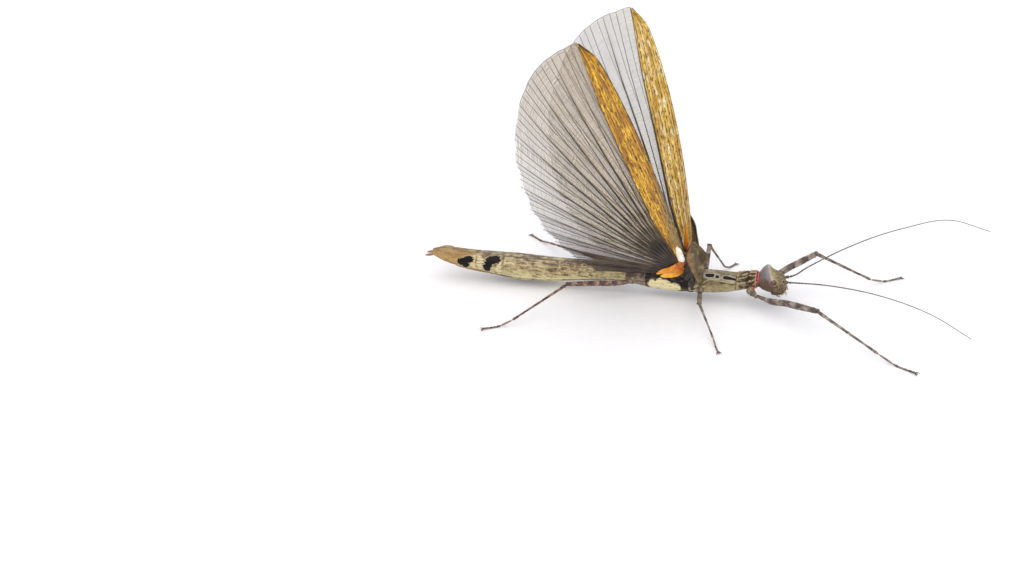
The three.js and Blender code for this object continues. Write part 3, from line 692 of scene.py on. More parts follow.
# ---- Eyes ----
# Each eye is a glossy brown dome of about twelve hundred round facets, with the small black spot
# that moves with the watcher set at its front, as in a mounted specimen.
FACETS = 1200
FACET_BULGE = 0.022
facet = np.arange(FACETS) + 0.5
polar, spin = np.arccos(1 - 2 * facet / FACETS), np.pi * (1 + 5**0.5) * facet
facet_middles = np.stack([
    np.sin(polar) * np.cos(spin), np.sin(polar) * np.sin(spin), np.cos(polar)
], axis=-1)
nearest = KDTree(FACETS)
for index, middle in enumerate(facet_middles):
    nearest.insert(middle, index)
nearest.balance()
ball_mesh = bpy.data.meshes.new("ball")
ball = bmesh.new()
bmesh.ops.create_icosphere(ball, subdivisions=6, radius=1)
ball.to_mesh(ball_mesh)
ball.free()
unit = np.array([vertex.co for vertex in ball_mesh.vertices])
unit /= np.linalg.norm(unit, axis=1, keepdims=True)
faces = [tuple(polygon.vertices) for polygon in ball_mesh.polygons]
bpy.data.meshes.remove(ball_mesh)
from_middle = np.array([nearest.find(point)[2] for point in unit])
facet_width = math.sqrt(4 * math.pi / FACETS)
dome = 1 - np.clip(from_middle / (0.58 * facet_width), 0, 1) ** 2

# Eye cuticle is clear and glassy over brown pigment, so it shows sharp bright points.
eye_cuticle, tree, shader = new_material(
    "eye_cuticle", Roughness=0.16, Coat_Weight=0.6, Coat_Roughness=0.08
)
bands = add(tree, "ShaderNodeTexNoise", {
    "Vector": millimetres(tree, (1, 1, 2.5)), "Scale": 1.6, "Detail": 3.0,
})
lens = add(tree, "ShaderNodeAttribute", attribute_name="dome").outputs["Fac"]
pupil = add(tree, "ShaderNodeAttribute", attribute_name="pupil").outputs["Fac"]
shade = add(tree, "ShaderNodeValToRGB", {"Fac": bands},
            stops=[(0.3, "#3E2018"), (0.5, "#5E382C"), (0.7, "#80584A")])
shade = painted(tree, shade, [
    (lens, ((0.0, 0.55), (0.4, 0.0)), "#2A1712"),
    (pupil, ((0.3, 1.0), (0.42, 0.0)), "#0A0606"),
])
tree.links.new(shade.outputs[2], shader.inputs["Base Color"])
for side, sign in SIDES:
    aim = np.array([0.62, sign * 0.75, 0.1])
    points = EYE_MIDDLE * (1, sign, 1) + unit * EYE_SIZE * (1 + FACET_BULGE * dome)[:, None]
    eye = make_piece(f"eye_dome_{side}", points, faces, eye_cuticle, {
        "dome": dome, "pupil": np.linalg.norm(unit - aim / np.linalg.norm(aim), axis=1),
    })
    finished(eye, "eye", f"eye_{side}")

# ---- Mouth ----
# The upper lip hangs like a flap over two hard dark jaws. Below them are the lower lip and two
# pairs of jointed feelers, pale and soft-skinned, that handle the food.


def mottled_cuticle(name, stops, size, roughness, band=0.0):
    """A small part's colours: mottled, with marks of about a size in mm, ringed if banded."""
    made, tree, shader = new_material(name, Roughness=roughness)
    place = millimetres(tree)
    spots = add(tree, "ShaderNodeTexNoise", {"Vector": place, "Scale": 1 / size, "Detail": 4.0})
    grain = add(tree, "ShaderNodeTexNoise", {"Vector": place, "Scale": 5.0, "Detail": 3.0})
    amount = spots
    if band:
        along = add(tree, "ShaderNodeAttribute", attribute_name="along").outputs["Fac"]
        wave = add(tree, "ShaderNodeMath", {0: along, 1: 2 * math.pi / band}, operation="MULTIPLY")
        shifted = add(tree, "ShaderNodeMath", {0: spots, 1: 5.0, 2: wave}, operation="MULTIPLY_ADD")
        ringed = add(tree, "ShaderNodeMath", {0: shifted}, operation="SINE")
        amount = add(tree, "ShaderNodeMath", {0: ringed, 1: 0.13, 2: spots}, operation="MULTIPLY_ADD")
    shade = add(tree, "ShaderNodeValToRGB", {"Fac": amount}, stops=stops)
    darkest = stops[0][1]
    shade = painted(tree, shade, [(grain, ((0.3, 0.45), (0.5, 0.0)), darkest)])
    coated(tree, shader, shade, grain, 0.4, 0.04)
    return made


# Jaw horn is the hardest cuticle, dark and worn smooth, so it shines.
jaw_horn = mottled_cuticle(
    "jaw_horn", [(0.3, "#24110C"), (0.5, "#4A2416"), (0.7, "#6E3A22")], 0.6, 0.28
)
# Skin of the mouth feelers and lower lip is thin, pale and leathery, so it looks soft and matt.
feeler_skin = mottled_cuticle(
    "feeler_skin", [(0.3, "#8E7C62"), (0.5, "#B7A684"), (0.7, "#D8CCA8")], 0.5, 0.5
)


def tube_rings(path, radii, sides, flat=1.0, crown=(0, 0, 1)):
    """Rings square to a path, each with its radius, flattened across the crown by a share."""
    path = np.asarray(path, float)
    along = np.gradient(path, axis=0)
    along /= np.linalg.norm(along, axis=1, keepdims=True)
    side = np.cross(along, crown)
    side /= np.linalg.norm(side, axis=1, keepdims=True)
    top = np.cross(side, along)
    turn = 2 * np.pi * np.arange(sides) / sides
    radii = np.asarray(radii, float)
    if radii.ndim == 1:
        radii = np.repeat(radii[:, None], sides, axis=1)
    return path[:, None] + radii[..., None] * (
        np.cos(turn)[None, :, None] * top[:, None] * flat + np.sin(turn)[None, :, None] * side[:, None]
    )


def stack_skins(name, tubes, surface, values=None):
    """Several closed skins as one piece, with one list of values for each tube under each name."""
    points, faces, laid = [], [], {key: [] for key in values or {}}
    first = 0
    for index, rings in enumerate(tubes):
        rows, columns = rings.shape[:2]
        own = np.vstack([rings.reshape(-1, 3), rings[0].mean(0), rings[-1].mean(0)])
        turned = outward(own, skin_faces(rows, columns))
        faces += [tuple(corner + first for corner in face) for face in turned]
        points.append(own)
        first += len(own)
        for key in laid:
            grid = np.broadcast_to(values[key][index], (rows, columns))
            laid[key].append(np.concatenate([grid.ravel(), [grid[0].mean(), grid[-1].mean()]]))
    return make_piece(name, np.vstack(points), faces, surface,
                      {key: np.concatenate(lists) for key, lists in laid.items()})


def jointed(points, radii, waist=0.62):
    """One spindle for each step of a path: narrow at its near end, widest before its far end."""
    share = np.linspace(0, 1, 14)
    swell = waist + (1 - waist) * np.sin(np.pi * np.clip(share * 0.62, 0, 1)) ** 0.8
    swell *= np.sqrt(np.clip(1 - (2 * share - 1) ** 8, 0.02, 1))
    tubes = []
    for start, end, radius in zip(points[:-1], points[1:], radii):
        path = np.asarray(start) + share[:, None] * (np.asarray(end) - start)
        tubes.append(tube_rings(path, radius * swell, 20))
    return tubes


share = np.linspace(0, 1, 26)
lip_path = np.stack([18.95 - 0.5 * share**2, 0 * share, 4.15 - 1.15 * share], axis=-1)
lip_width = 0.92 * np.sqrt(np.clip(1 - (share * 1.02 - 0.35) ** 2 * 1.6, 0.05, 1))
lip = tube_rings(lip_path, lip_width, 40, flat=0.24, crown=(1, 0, 0.3))
notch = line(lip[..., 1], 0, 0.1) * between(share[:, None], 0.6, 2, 0.2)
lip = raised(lip, 0.03 * lumps(lip, 0.3, 61) - 0.06 * notch)
finished(closed_skin("upper_lip", lip, jaw_horn), "mouthparts", "mouthparts")

share = np.linspace(0, 1, 30)
jaws = []
for sign in (1, -1):
    path = np.stack([
        16.0 + 2.5 * share,
        sign * (1.05 + 0.1 * share - 0.8 * share**3),
        3.5 + 0.1 * share - 0.55 * share**2,
    ], axis=-1)
    girth = 0.72 * (1 - 0.8 * share**2.2) * np.sqrt(np.clip(share * 9, 0.1, 1))
    jaw = tube_rings(path, girth, 28, flat=0.7)
    teeth = np.cos(jaw[..., 0] * 20) * share[:, None] ** 3
    jaws.append(raised(jaw, 0.03 * lumps(jaw, 0.35, 62) + 0.03 * teeth))
finished(stack_skins("jaws", jaws, jaw_horn), "mouthparts", "mouthparts")

share = np.linspace(0, 1, 30)
path = np.stack([16.1 + 2.0 * share, 0 * share, 3.35 - 0.45 * np.sin(np.pi * share * 0.8)], axis=-1)
under = tube_rings(path, 0.95 * np.sqrt(np.clip(1 - (2 * share - 1) ** 4, 0.03, 1)), 40, flat=0.5)
under = raised(under, 0.05 * lumps(under, 0.4, 63) - 0.08 * line(under[..., 1], 0, 0.08))
finished(closed_skin("lower_lip", under, feeler_skin), "mouthparts", "mouthparts")

for side, sign in SIDES:
    upper = [(18.1, 1.0, 3.2), (18.5, 1.25, 3.25), (18.95, 1.3, 3.75), (19.15, 1.2, 4.2),
             (19.3, 1.15, 3.7), (19.35, 1.15, 3.15)]
    lower = [(16.95, 0.8, 3.0), (17.15, 1.05, 2.8), (17.6, 1.15, 2.6), (18.1, 1.1, 2.66)]
    tubes = jointed([(a, sign * b, c) for a, b, c in upper], (0.2, 0.19, 0.18, 0.17, 0.16))
    tubes += jointed([(a, sign * b, c) for a, b, c in lower], (0.19, 0.18, 0.17))
    finished(stack_skins(f"feelers_{side}", tubes, feeler_skin), "mouthparts", "mouthparts")

# ---- Antennae ----
# A thick first joint in the socket, a short second one, then a whip of some sixty fine joints,
# each a little cone that widens forwards, tapering to a hair at the tip.
ANTENNAE = {
    "right": [(18.5, -1.05, 6.3), (27.8, -1.5, 6.7), (39.2, -3.5, 6.5), (50.6, -8.4, 5.8),
              (58.4, -14.9, 5.2)],
    "left": [(18.5, 0.95, 6.35), (20.2, 1.05, 6.75), (23.2, 2.0, 8.6), (31.6, 7.4, 11.6),
             (42.3, 15.2, 12.9), (53.3, 21.7, 12.4), (60.4, 22.2, 10.3)],
}
FIRST_JOINTS = 1.9  # mm of antenna taken by the two thick joints

# Antenna cuticle is thin and dry, ringed pale and dark, with a slight sheen.
antenna_cuticle = mottled_cuticle(
    "antenna_cuticle", [(0.3, "#2E241D"), (0.5, "#4C3F34"), (0.7, "#6E5F4E")], 2.2, 0.45, band=4.2
)


def node_group(name, **sockets):
    """A geometry tree with one geometry in and out, and an input of its own for each socket."""
    made = bpy.data.node_groups.new(name, "GeometryNodeTree")
    made.interface.new_socket("Geometry", in_out="INPUT", socket_type="NodeSocketGeometry")
    for label, kind in sockets.items():
        made.interface.new_socket(
            label.replace("_", " "), in_out="INPUT", socket_type=f"NodeSocket{kind}"
        )
    made.interface.new_socket("Geometry", in_out="OUTPUT", socket_type="NodeSocketGeometry")
    return made, made.nodes.new("NodeGroupInput"), made.nodes.new("NodeGroupOutput")


def end_tree(tree, given, result, geometry):
    """Ends a geometry tree: instances are made real, and clad in the material given."""
    real = add(tree, "GeometryNodeRealizeInstances", {"Geometry": geometry})
    clad = add(tree, "GeometryNodeSetMaterial", {
        "Geometry": real, "Material": given.outputs["Material"],
    })
    tree.links.new(clad.outputs[0], result.inputs["Geometry"])


def grown(name, start, group, **values):
    """Runs a geometry tree on a starting mesh, and keeps the result as a plain mesh."""
    modifier = start.modifiers.new(name, "NODES")
    modifier.node_group = group
    for item in group.interface.items_tree:
        key = item.name.replace(" ", "_")
        if item.in_out == "INPUT" and key in values:
            modifier[item.identifier] = values[key]
    evaluated = start.evaluated_get(bpy.context.evaluated_depsgraph_get())
    mesh = bpy.data.meshes.new_from_object(evaluated)
    start.modifiers.remove(modifier)
    bpy.data.objects.remove(start)
    mesh.name = name
    piece = bpy.data.objects.new(name, mesh)
    bpy.context.scene.collection.objects.link(piece)
    return piece


def thread(name, lines, values=None):
    """A starting mesh of bare lines through points in mm, for a geometry tree to clothe."""
    points = np.vstack(lines)
    edges, first = [], 0
    for run in lines:
        edges += [(first + step, first + step + 1) for step in range(len(run) - 1)]
        first += len(run)
    mesh = bpy.data.meshes.new(name)
    mesh.from_pydata((points / 1000 + np.array(drawing_zero)).tolist(), edges, [])
    for key, numbers in (values or {}).items():
        mesh.attributes.new(key, "FLOAT", "POINT").data.foreach_set(
            "value", np.concatenate(numbers).astype(np.float32)
        )
    made = bpy.data.objects.new(name, mesh)
    bpy.context.scene.collection.objects.link(made)
    return made


whip, given, result = node_group(
    "whip_of_joints", Joint_Length="Float", Base_Radius="Float", Tip_Radius="Float", Material="Material"
)
strand = add(whip, "GeometryNodeMeshToCurve", {"Mesh": given.outputs["Geometry"]})
beads = add(whip, "GeometryNodeResampleCurve", {
    "Curve": strand, "Length": given.outputs["Joint Length"],
}, mode="LENGTH")
walk = add(whip, "ShaderNodeMath", {
    0: add(whip, "GeometryNodeSplineParameter").outputs["Length"], 1: 1000.0,
}, operation="MULTIPLY")
beads = add(whip, "GeometryNodeStoreNamedAttribute", {
    "Geometry": beads, "Name": "along", "Value": walk,
}, data_type="FLOAT", domain="POINT")
cone = add(whip, "GeometryNodeMeshCone", {
    "Vertices": 12, "Radius Top": 1.0, "Radius Bottom": 0.74,
    "Depth": add(whip, "ShaderNodeMath", {0: given.outputs["Joint Length"], 1: 1.04}, operation="MULTIPLY"),
})
facing = add(whip, "FunctionNodeAlignRotationToVector", {
    "Vector": add(whip, "GeometryNodeInputTangent"),
}, axis="Z")
reached = add(whip, "GeometryNodeSplineParameter").outputs["Factor"]
eased = add(whip, "ShaderNodeMath", {0: reached, 1: 0.55}, operation="POWER")
radius = add(whip, "ShaderNodeMapRange", {
    "Value": eased, "To Min": given.outputs["Base Radius"], "To Max": given.outputs["Tip Radius"],
})
size = add(whip, "ShaderNodeCombineXYZ", {"X": radius, "Y": radius, "Z": 1.0})
joints = add(whip, "GeometryNodeInstanceOnPoints", {
    "Points": beads, "Instance": cone.outputs["Mesh"], "Rotation": facing, "Scale": size,
})
end_tree(whip, given, result, joints)

for side, sign in SIDES:
    knots = np.array(ANTENNAE[side])
    walked = np.concatenate([[0], np.cumsum(np.linalg.norm(np.diff(knots, axis=0), axis=1))])
    path = along_curve(walked, knots, np.linspace(0, walked[-1], 400))
    reach = np.concatenate([[0], np.cumsum(np.linalg.norm(np.diff(path, axis=0), axis=1))])
    thick = path[reach < FIRST_JOINTS]
    ends = [thick[0], thick[int(len(thick) * 0.68)], thick[-1]]
    base = stack_skins(f"antenna_base_{side}", jointed(ends, (0.34, 0.25), waist=0.7), antenna_cuticle)
    finished(base, "antenna", f"antenna_{side}")
    lash = grown(f"antenna_whip_{side}", thread("strand", [path[reach >= FIRST_JOINTS - 0.2]]), whip,
                 Joint_Length=0.00066, Base_Radius=0.00019, Tip_Radius=0.000075, Material=antenna_cuticle)
    lash.data.shade_smooth()
    finished(lash, "antenna", f"antenna_{side}")

# ---- Legs ----
# Six long walking legs of hard cuticle, ridged lengthwise and mottled like twigs. A hip block
# swings in the trunk, a thin ring joins it to the thigh, and thigh and shin meet at a lobed knee.
LEGS = {
    "fore": dict(
        coxa=(11.2, 1.7, 4.35), hip=(12.7, 2.75, 3.3), coxa_radius=0.92,
        thigh=[(0, 0.36), (0.06, 0.34), (0.14, 0.4), (0.27, 0.62), (0.5, 0.68), (0.82, 0.66), (0.93, 0.6)],
        shin=0.36, ankle_radius=0.25, toe=0.24, dip=0.45,
        left=[(24.75, 6.8, 9.6), (36.5, 11.6, 1.4), (42.7, 15.4, 0.33)],
        right=[(26.85, -9.3, 4.8), (40.8, -18.6, 1.4), (48.5, -22.6, 0.33)],
    ),
    "mid": dict(
        coxa=(0.6, 2.2, 3.7), hip=(0.7, 3.5, 3.2), coxa_radius=0.84,
        thigh=[(0, 0.48), (0.1, 0.44), (0.3, 0.5), (0.6, 0.5), (0.85, 0.48), (0.93, 0.44)],
        shin=0.33, ankle_radius=0.23, toe=0.23, dip=0.1,
        left=[(1.1, 6.8, 9.6), (3.7, 12.4, 1.05), (5.7, 15.4, 0.33)],
        right=[(1.8, -10.4, 4.7), (6.2, -18.2, 1.1), (7.9, -22.0, 0.33)],
    ),
    "hind": dict(
        coxa=(-14.2, 1.7, 4.2), hip=(-15.4, 2.6, 3.85), coxa_radius=0.88,
        thigh=[(0, 0.5), (0.06, 0.48), (0.2, 0.58), (0.5, 0.58), (0.85, 0.5), (0.93, 0.46)],
        shin=0.33, ankle_radius=0.24, toe=0.23, dip=0.15,
        left=[(-27.5, 6.3, 5.0), (-38.6, 16.6, 1.05), (-44.2, 21.0, 0.33)],
        right=[(-27.9, -8.6, 5.5), (-38.1, -18.9, 1.25), (-43.8, -21.9, 0.33)],
    ),
}
LIMB_SIDES = 30
TOE_JOINTS = (0, 0.4, 0.56, 0.68, 0.79, 1)  # where a foot's five joints part, from ankle to claws

# Leg cuticle is hard and dry like a twig, ringed grey and brown every few mm, and half matt.
leg_cuticle = mottled_cuticle(
    "leg_cuticle", [(0.3, "#3E322B"), (0.45, "#65574C"), (0.56, "#84776B"), (0.72, "#A89B8A")],
    0.8, 0.5, band=3.4,
)
hind_leg_cuticle = mottled_cuticle(
    "hind_leg_cuticle", [(0.3, "#33221B"), (0.45, "#5E4033"), (0.56, "#7E5E4C"), (0.72, "#A68B72")],
    0.7, 0.5, band=2.6,
)
# Hip cuticle is the same, blotched but without rings.
hip_cuticle = mottled_cuticle(
    "hip_cuticle", [(0.3, "#46392D"), (0.5, "#7C6C54"), (0.72, "#A8997A")], 0.7, 0.5
)
# Claw horn is dense and polished by use, so it is dark and shines.
claw_horn = mottled_cuticle(
    "claw_horn", [(0.3, "#1C120E"), (0.5, "#3A261D"), (0.7, "#5E4232")], 0.4, 0.25
)
# The pads under the feet are soft bare skin, pale and matt.
foot_pad_skin = mottled_cuticle(
    "foot_pad_skin", [(0.3, "#6E6054"), (0.5, "#948776"), (0.7, "#B4A894")], 0.3, 0.6
)


def limb_rings(start, end, profile, dip, ridges, seed):
    """A leg segment from joint to joint: its radii along it, a downward bow, and lengthwise ridges."""
    start, end = np.asarray(start, float), np.asarray(end, float)
    length = np.linalg.norm(end - start)
    share = np.linspace(0, 1, int(length / 0.12))
    path = start + share[:, None] * (end - start)
    path[:, 2] -= dip * np.sin(np.pi * np.clip(share / 0.55, 0, 1)) ** 2
    stations, radii = np.array(profile).T
    radius = along_curve(stations, radii, share) * np.sqrt(np.clip(1 - (2 * share - 1) ** 24, 0.02, 1))
    rings = tube_rings(path, radius, LIMB_SIDES)
    turn = 2 * np.pi * np.arange(LIMB_SIDES) / LIMB_SIDES
    crest = np.abs(np.cos(ridges * turn / 2 + np.pi / ridges)) ** 5
    height = 0.13 * radius[:, None] * (crest - 0.35)[None, :]
    height = height + 0.03 * lumps(rings, 0.45, seed) + 0.02 * lumps(rings, 0.2, seed + 1)
    teeth = np.clip(np.cos(2 * np.pi * share * length / 0.85), 0, 1) ** 8
    under = line(turn, np.pi * 0.82, 0.16) + line(turn, np.pi * 1.18, 0.16)
    height = height + 0.10 * teeth[:, None] * under[None, :] * between(share, 0.2, 0.95, 0.1)[:, None]
    return raised(rings, height), np.broadcast_to((share * length)[:, None], height.shape)


def ball_rings(middle, size, sides=18, steps=12):
    """An egg shape as rings from rear to front."""
    level = np.linspace(-0.985, 0.985, steps)
    turn = 2 * np.pi * np.arange(sides) / sides
    wide = np.sqrt(1 - level**2)[:, None]
    unit = np.stack([
        np.broadcast_to(level[:, None], (steps, sides)), wide * np.cos(turn), wide * np.sin(turn)
    ], axis=-1)
    return np.asarray(middle) + unit * size


leg_pieces = []
for pair, leg in LEGS.items():
    for side, sign in SIDES:
        coat = hind_leg_cuticle if pair == "hind" else leg_cuticle
        named = f"{pair}_{side}"
        mirror = np.array([1, sign, 1])
        coxa, hip = np.array(leg["coxa"]) * mirror, np.array(leg["hip"]) * mirror
        knee, ankle, claw = (np.array(joint) for joint in leg[side])
        seed = 70 + 10 * len(leg_pieces)

        share = np.linspace(0, 1, 30)
        size = leg["coxa_radius"] * along_curve([0, 0.3, 0.7, 1], [0.95, 1.0, 0.82, 0.55], share)
        size = size * np.sqrt(np.clip(1 - (2 * share - 1) ** 14, 0.02, 1))
        block = tube_rings(coxa + share[:, None] * (hip - coxa), size, LIMB_SIDES)
        folds = 0.05 * np.cos(2 * np.pi * share * 4.5)[:, None] + 0.06 * lumps(block, 0.5, seed)
        hipward = (hip - coxa) / np.linalg.norm(hip - coxa)
        kneeward = (knee - hip) / np.linalg.norm(knee - hip)
        ring_ends = [hip - 0.12 * (hip - coxa), hip + 0.4 * hipward + 0.35 * kneeward]
        ring = jointed(ring_ends, (0.5 * leg["coxa_radius"],))
        hip_piece = stack_skins(f"{named}_hip", [raised(block, folds), *ring], hip_cuticle)
        finished(hip_piece, "leg_shell", f"{named}_coxa")

        lobe = leg["thigh"][-1][1]
        profile = leg["thigh"] + [(0.965, lobe * 1.12), (1.0, lobe * 0.8)]
        rings, walked = limb_rings(hip, knee, profile, leg["dip"], 5, seed + 2)
        across = np.cross(kneeward, (0, 0, 1))
        across /= np.linalg.norm(across)
        lobes = [ball_rings(knee + across * way * lobe * 0.5, np.array([0.85, 0.45, 0.8]) * lobe)
                 for way in (1, -1)]
        thigh = stack_skins(f"{named}_thigh", [rings, *lobes], coat,
                            {"along": [walked, walked.max(), walked.max()]})
        finished(thigh, "leg_shell", f"{named}_femur")

        top, bottom = leg["shin"], leg["ankle_radius"]
        profile = [(0, top * 0.95), (0.05, top * 1.05), (0.15, top * 0.92), (0.55, bottom * 1.02),
                   (0.9, bottom), (0.97, bottom * 1.2), (1, bottom)]
        rings, walked = limb_rings(knee, ankle, profile, 0, 4, seed + 4)
        shin = stack_skins(f"{named}_shin", [rings], coat, {"along": [walked]})
        finished(shin, "leg_shell", f"{named}_tibia")

        heel = ankle + 0.42 * (claw - ankle)
        heel[2] = leg["toe"] + 0.1
        bend = np.linalg.norm(heel - ankle)
        whole = bend + np.linalg.norm(claw - heel)
        foot = [along_curve([0, bend, whole], [ankle, heel, claw], np.array([part * whole]))[0]
                for part in TOE_JOINTS]
        girths = leg["toe"] * np.array([0.95, 0.88, 0.85, 0.85, 0.92])
        joints = jointed(foot, girths, waist=0.7)
        toes = stack_skins(f"{named}_foot", joints, coat,
                           {"along": [index * 1.3 for index in range(len(joints))]})
        finished(toes, "leg_shell", f"{named}_tarsus")
        pads = [ball_rings(joint * (1, 1, 0) + (0, 0, 0.12), (0.22, 0.17, 0.11)) for joint in foot[2:5]]
        forward = (claw - heel) * (1, 1, 0)
        forward /= np.linalg.norm(forward)
        sideways = np.array([-forward[1], forward[0], 0])
        pads.append(ball_rings(claw * (1, 1, 0) + forward * 0.32 + (0, 0, 0.17), (0.3, 0.26, 0.14)))
        finished(stack_skins(f"{named}_foot_pads", pads, foot_pad_skin), "leg_shell", f"{named}_tarsus")
        bent = np.linspace(0, 1, 16)[:, None]
        claws = [tube_rings(
            claw + forward * (0.78 * bent) + sideways * way * (0.08 + 0.5 * np.sin(bent * 1.5))
            + np.array([0, 0, 1]) * (0.05 * np.sin(np.pi * bent) - 0.24 * bent**2),
            0.11 * (1 - 0.85 * bent[:, 0] ** 1.3), 12) for way in (1, -1)]
        finished(stack_skins(f"{named}_claws", claws, claw_horn), "leg_shell", f"{named}_tarsus")
        leg_pieces += [thigh, shin, toes]

# Short stiff bristles stand all over the legs, leaning towards the feet.
BRISTLE_LENGTH, BRISTLE_THICKNESS, BRISTLES_PER_MM2 = 0.16, 0.012, 4.0
bristle_group, given, result = node_group(
    "leg_bristles", Length="Float", Radius="Float", Density="Float", Seed="Int", Material="Material"
)
scattered = add(bristle_group, "GeometryNodeDistributePointsOnFaces", {
    "Mesh": given.outputs["Geometry"], "Density": given.outputs["Density"], "Seed": given.outputs["Seed"],
})
spike = add(bristle_group, "GeometryNodeMeshCone", {
    "Vertices": 4, "Radius Top": 0.0, "Radius Bottom": given.outputs["Radius"],
    "Depth": given.outputs["Length"],
})
lean = add(bristle_group, "FunctionNodeRotateRotation", {
    "Rotation": scattered.outputs["Rotation"], "Rotate By": (0.5, 0.2, 0.0),
}, rotation_space="LOCAL")
uneven = add(bristle_group, "FunctionNodeRandomValue", {
    "Min": 0.5, "Max": 1.2, "Seed": 5,
}, data_type="FLOAT")
bristles = add(bristle_group, "GeometryNodeInstanceOnPoints", {
    "Points": scattered.outputs["Points"], "Instance": spike.outputs["Mesh"], "Rotation": lean,
    "Scale": uneven,
})
end_tree(bristle_group, given, result, bristles)

# Bristles are thin horn, brown and a little shiny.
bristle_horn = mottled_cuticle(
    "bristle_horn", [(0.3, "#2A1F19"), (0.5, "#4E3D32"), (0.7, "#7A6450")], 0.5, 0.4
)
limbs = bmesh.new()
for piece in leg_pieces:
    limbs.from_mesh(piece.data)
limb_mesh = bpy.data.meshes.new("limbs")
limbs.to_mesh(limb_mesh)
limbs.free()
limb_copy = bpy.data.objects.new("limbs", limb_mesh)
bpy.context.scene.collection.objects.link(limb_copy)
bristle_coat = grown(
    "leg_bristles", limb_copy, bristle_group, Length=BRISTLE_LENGTH / 1000,
    Radius=BRISTLE_THICKNESS / 1000, Density=BRISTLES_PER_MM2 * 1e6, Seed=3, Material=bristle_horn,
)
finished(bristle_coat, "leg_shell")

# ---- Cerci and tail flap ----
# Two short soft feelers at the tail's end, and the spoon-shaped flap under it that holds the eggs.
CERCUS_FROM, CERCUS_TO = (-61.3, 0.62, 5.6), (-63.7, 0.7, 5.05)
CERCUS_RADIUS = 0.36
# The feelers at the tail are soft skin, pinkish brown with a slight sheen.
cercus_skin = mottled_cuticle(
    "cercus_skin", [(0.3, "#6E5240"), (0.5, "#9C7A60"), (0.7, "#C0A084")], 0.6, 0.4
)
for side, sign in SIDES:
    share = np.linspace(0, 1, 26)
    path = np.array(CERCUS_FROM) + share[:, None] * np.subtract(CERCUS_TO, CERCUS_FROM)
    path[:, 1] = path[:, 1] * sign + sign * 0.08 * np.sin(np.pi * share)
    radius = CERCUS_RADIUS * np.sqrt(np.clip(1 - share**2.6, 0.02, 1)) * (0.85 + 0.15 * share)
    rings = tube_rings(path, radius, 20)
    cercus = closed_skin(f"tail_feeler_{side}", raised(rings, 0.03 * lumps(rings, 0.25, 81)), cercus_skin)
    finished(cercus, "abdomen_shell", f"cercus_{side}")
share = np.linspace(0, 1, 60)
path = np.stack([-50.7 - 6.0 * share, 0 * share, 2.72 + 0.3 * share], axis=-1)
wide = 1.12 * np.sqrt(np.clip(1 - share**5, 0.02, 1)) * (0.72 + 0.28 * np.sin(np.pi * share * 0.8))
rings = tube_rings(path, wide, 48, flat=0.45)
flap_height = 0.07 * line(rings[..., 1], 0, 0.12) + 0.04 * lumps(rings, 0.5, 83)
flap = closed_skin("tail_flap", raised(rings, flap_height), abdomen_cuticle, {
    "down": np.full(flap_height.shape, 0.8) + 0.1 * lumps(rings, 0.8, 84),
    "relief": 0.5 + flap_height * 3, "tail": np.ones(flap_height.shape),
    "mark": np.full(flap_height.shape, 9.0), "patch": np.full(flap_height.shape, 9.0),
})
finished(flap, "abdomen_shell", "abdomen_7")

# ---- Forewings ----
# Two short, leathery forewings stand up beside the hindwings' roots. Each is domed over a shoulder
# boss, with a pale thick rib down its length and a net of fine raised veins between.
FOREWING_ENDS = {  # root and tip, as they would be on the left side
    "left": ((0.45, 2.4, 4.9), (-4.8, 7.0, 19.0)), "right": ((0.7, 2.9, 5.0), (-0.6, 3.5, 16.0)),
}
FOREWING_BREADTH = {"left": 0.5, "right": 1.0}
FOREWING_DOME = 0.75
# Shares of the length, and the widths there in front of the rib and behind it.
FOREWING_OUTLINE = np.array([
    (0, 0.3, 0.3), (0.12, 0.5, 0.8), (0.28, 1.0, 1.45), (0.4, 1.6, 1.9), (0.55, 2.1, 2.3),
    (0.7, 2.6, 2.2), (0.82, 1.9, 1.5), (0.92, 1.0, 0.8), (1, 0.12, 0.12),
])
FOREWING_THICKNESS = 0.16


def sheet_piece(name, grid, thickness, surface, values):
    """A thin closed sheet over a grid of points, with its own thickness at each of them."""
    rows, columns = grid.shape[:2]
    normal = np.cross(np.gradient(grid, axis=0), np.gradient(grid, axis=1))
    normal /= np.maximum(np.linalg.norm(normal, axis=-1, keepdims=True), 1e-9)
    half = normal * np.broadcast_to(thickness, (rows, columns))[..., None] / 2
    points = np.vstack([(grid + half).reshape(-1, 3), (grid - half).reshape(-1, 3)])
    index = np.arange(rows * columns).reshape(rows, columns)
    quads = np.stack([
        index[:-1, :-1], index[:-1, 1:], index[1:, 1:], index[1:, :-1]
    ], axis=-1).reshape(-1, 4)
    edge = np.concatenate([index[0, :-1], index[:-1, -1], index[-1, :0:-1], index[:0:-1, 0]])
    following = np.roll(edge, -1)
    below = rows * columns
    walls = np.stack([edge, edge + below, following + below, following], axis=-1)
    faces = quads.tolist() + (quads[:, ::-1] + below).tolist() + walls.tolist()
    return make_piece(name, points, outward(points, faces), surface,
                      {key: np.tile(np.ravel(grid_values), 2) for key, grid_values in values.items()})


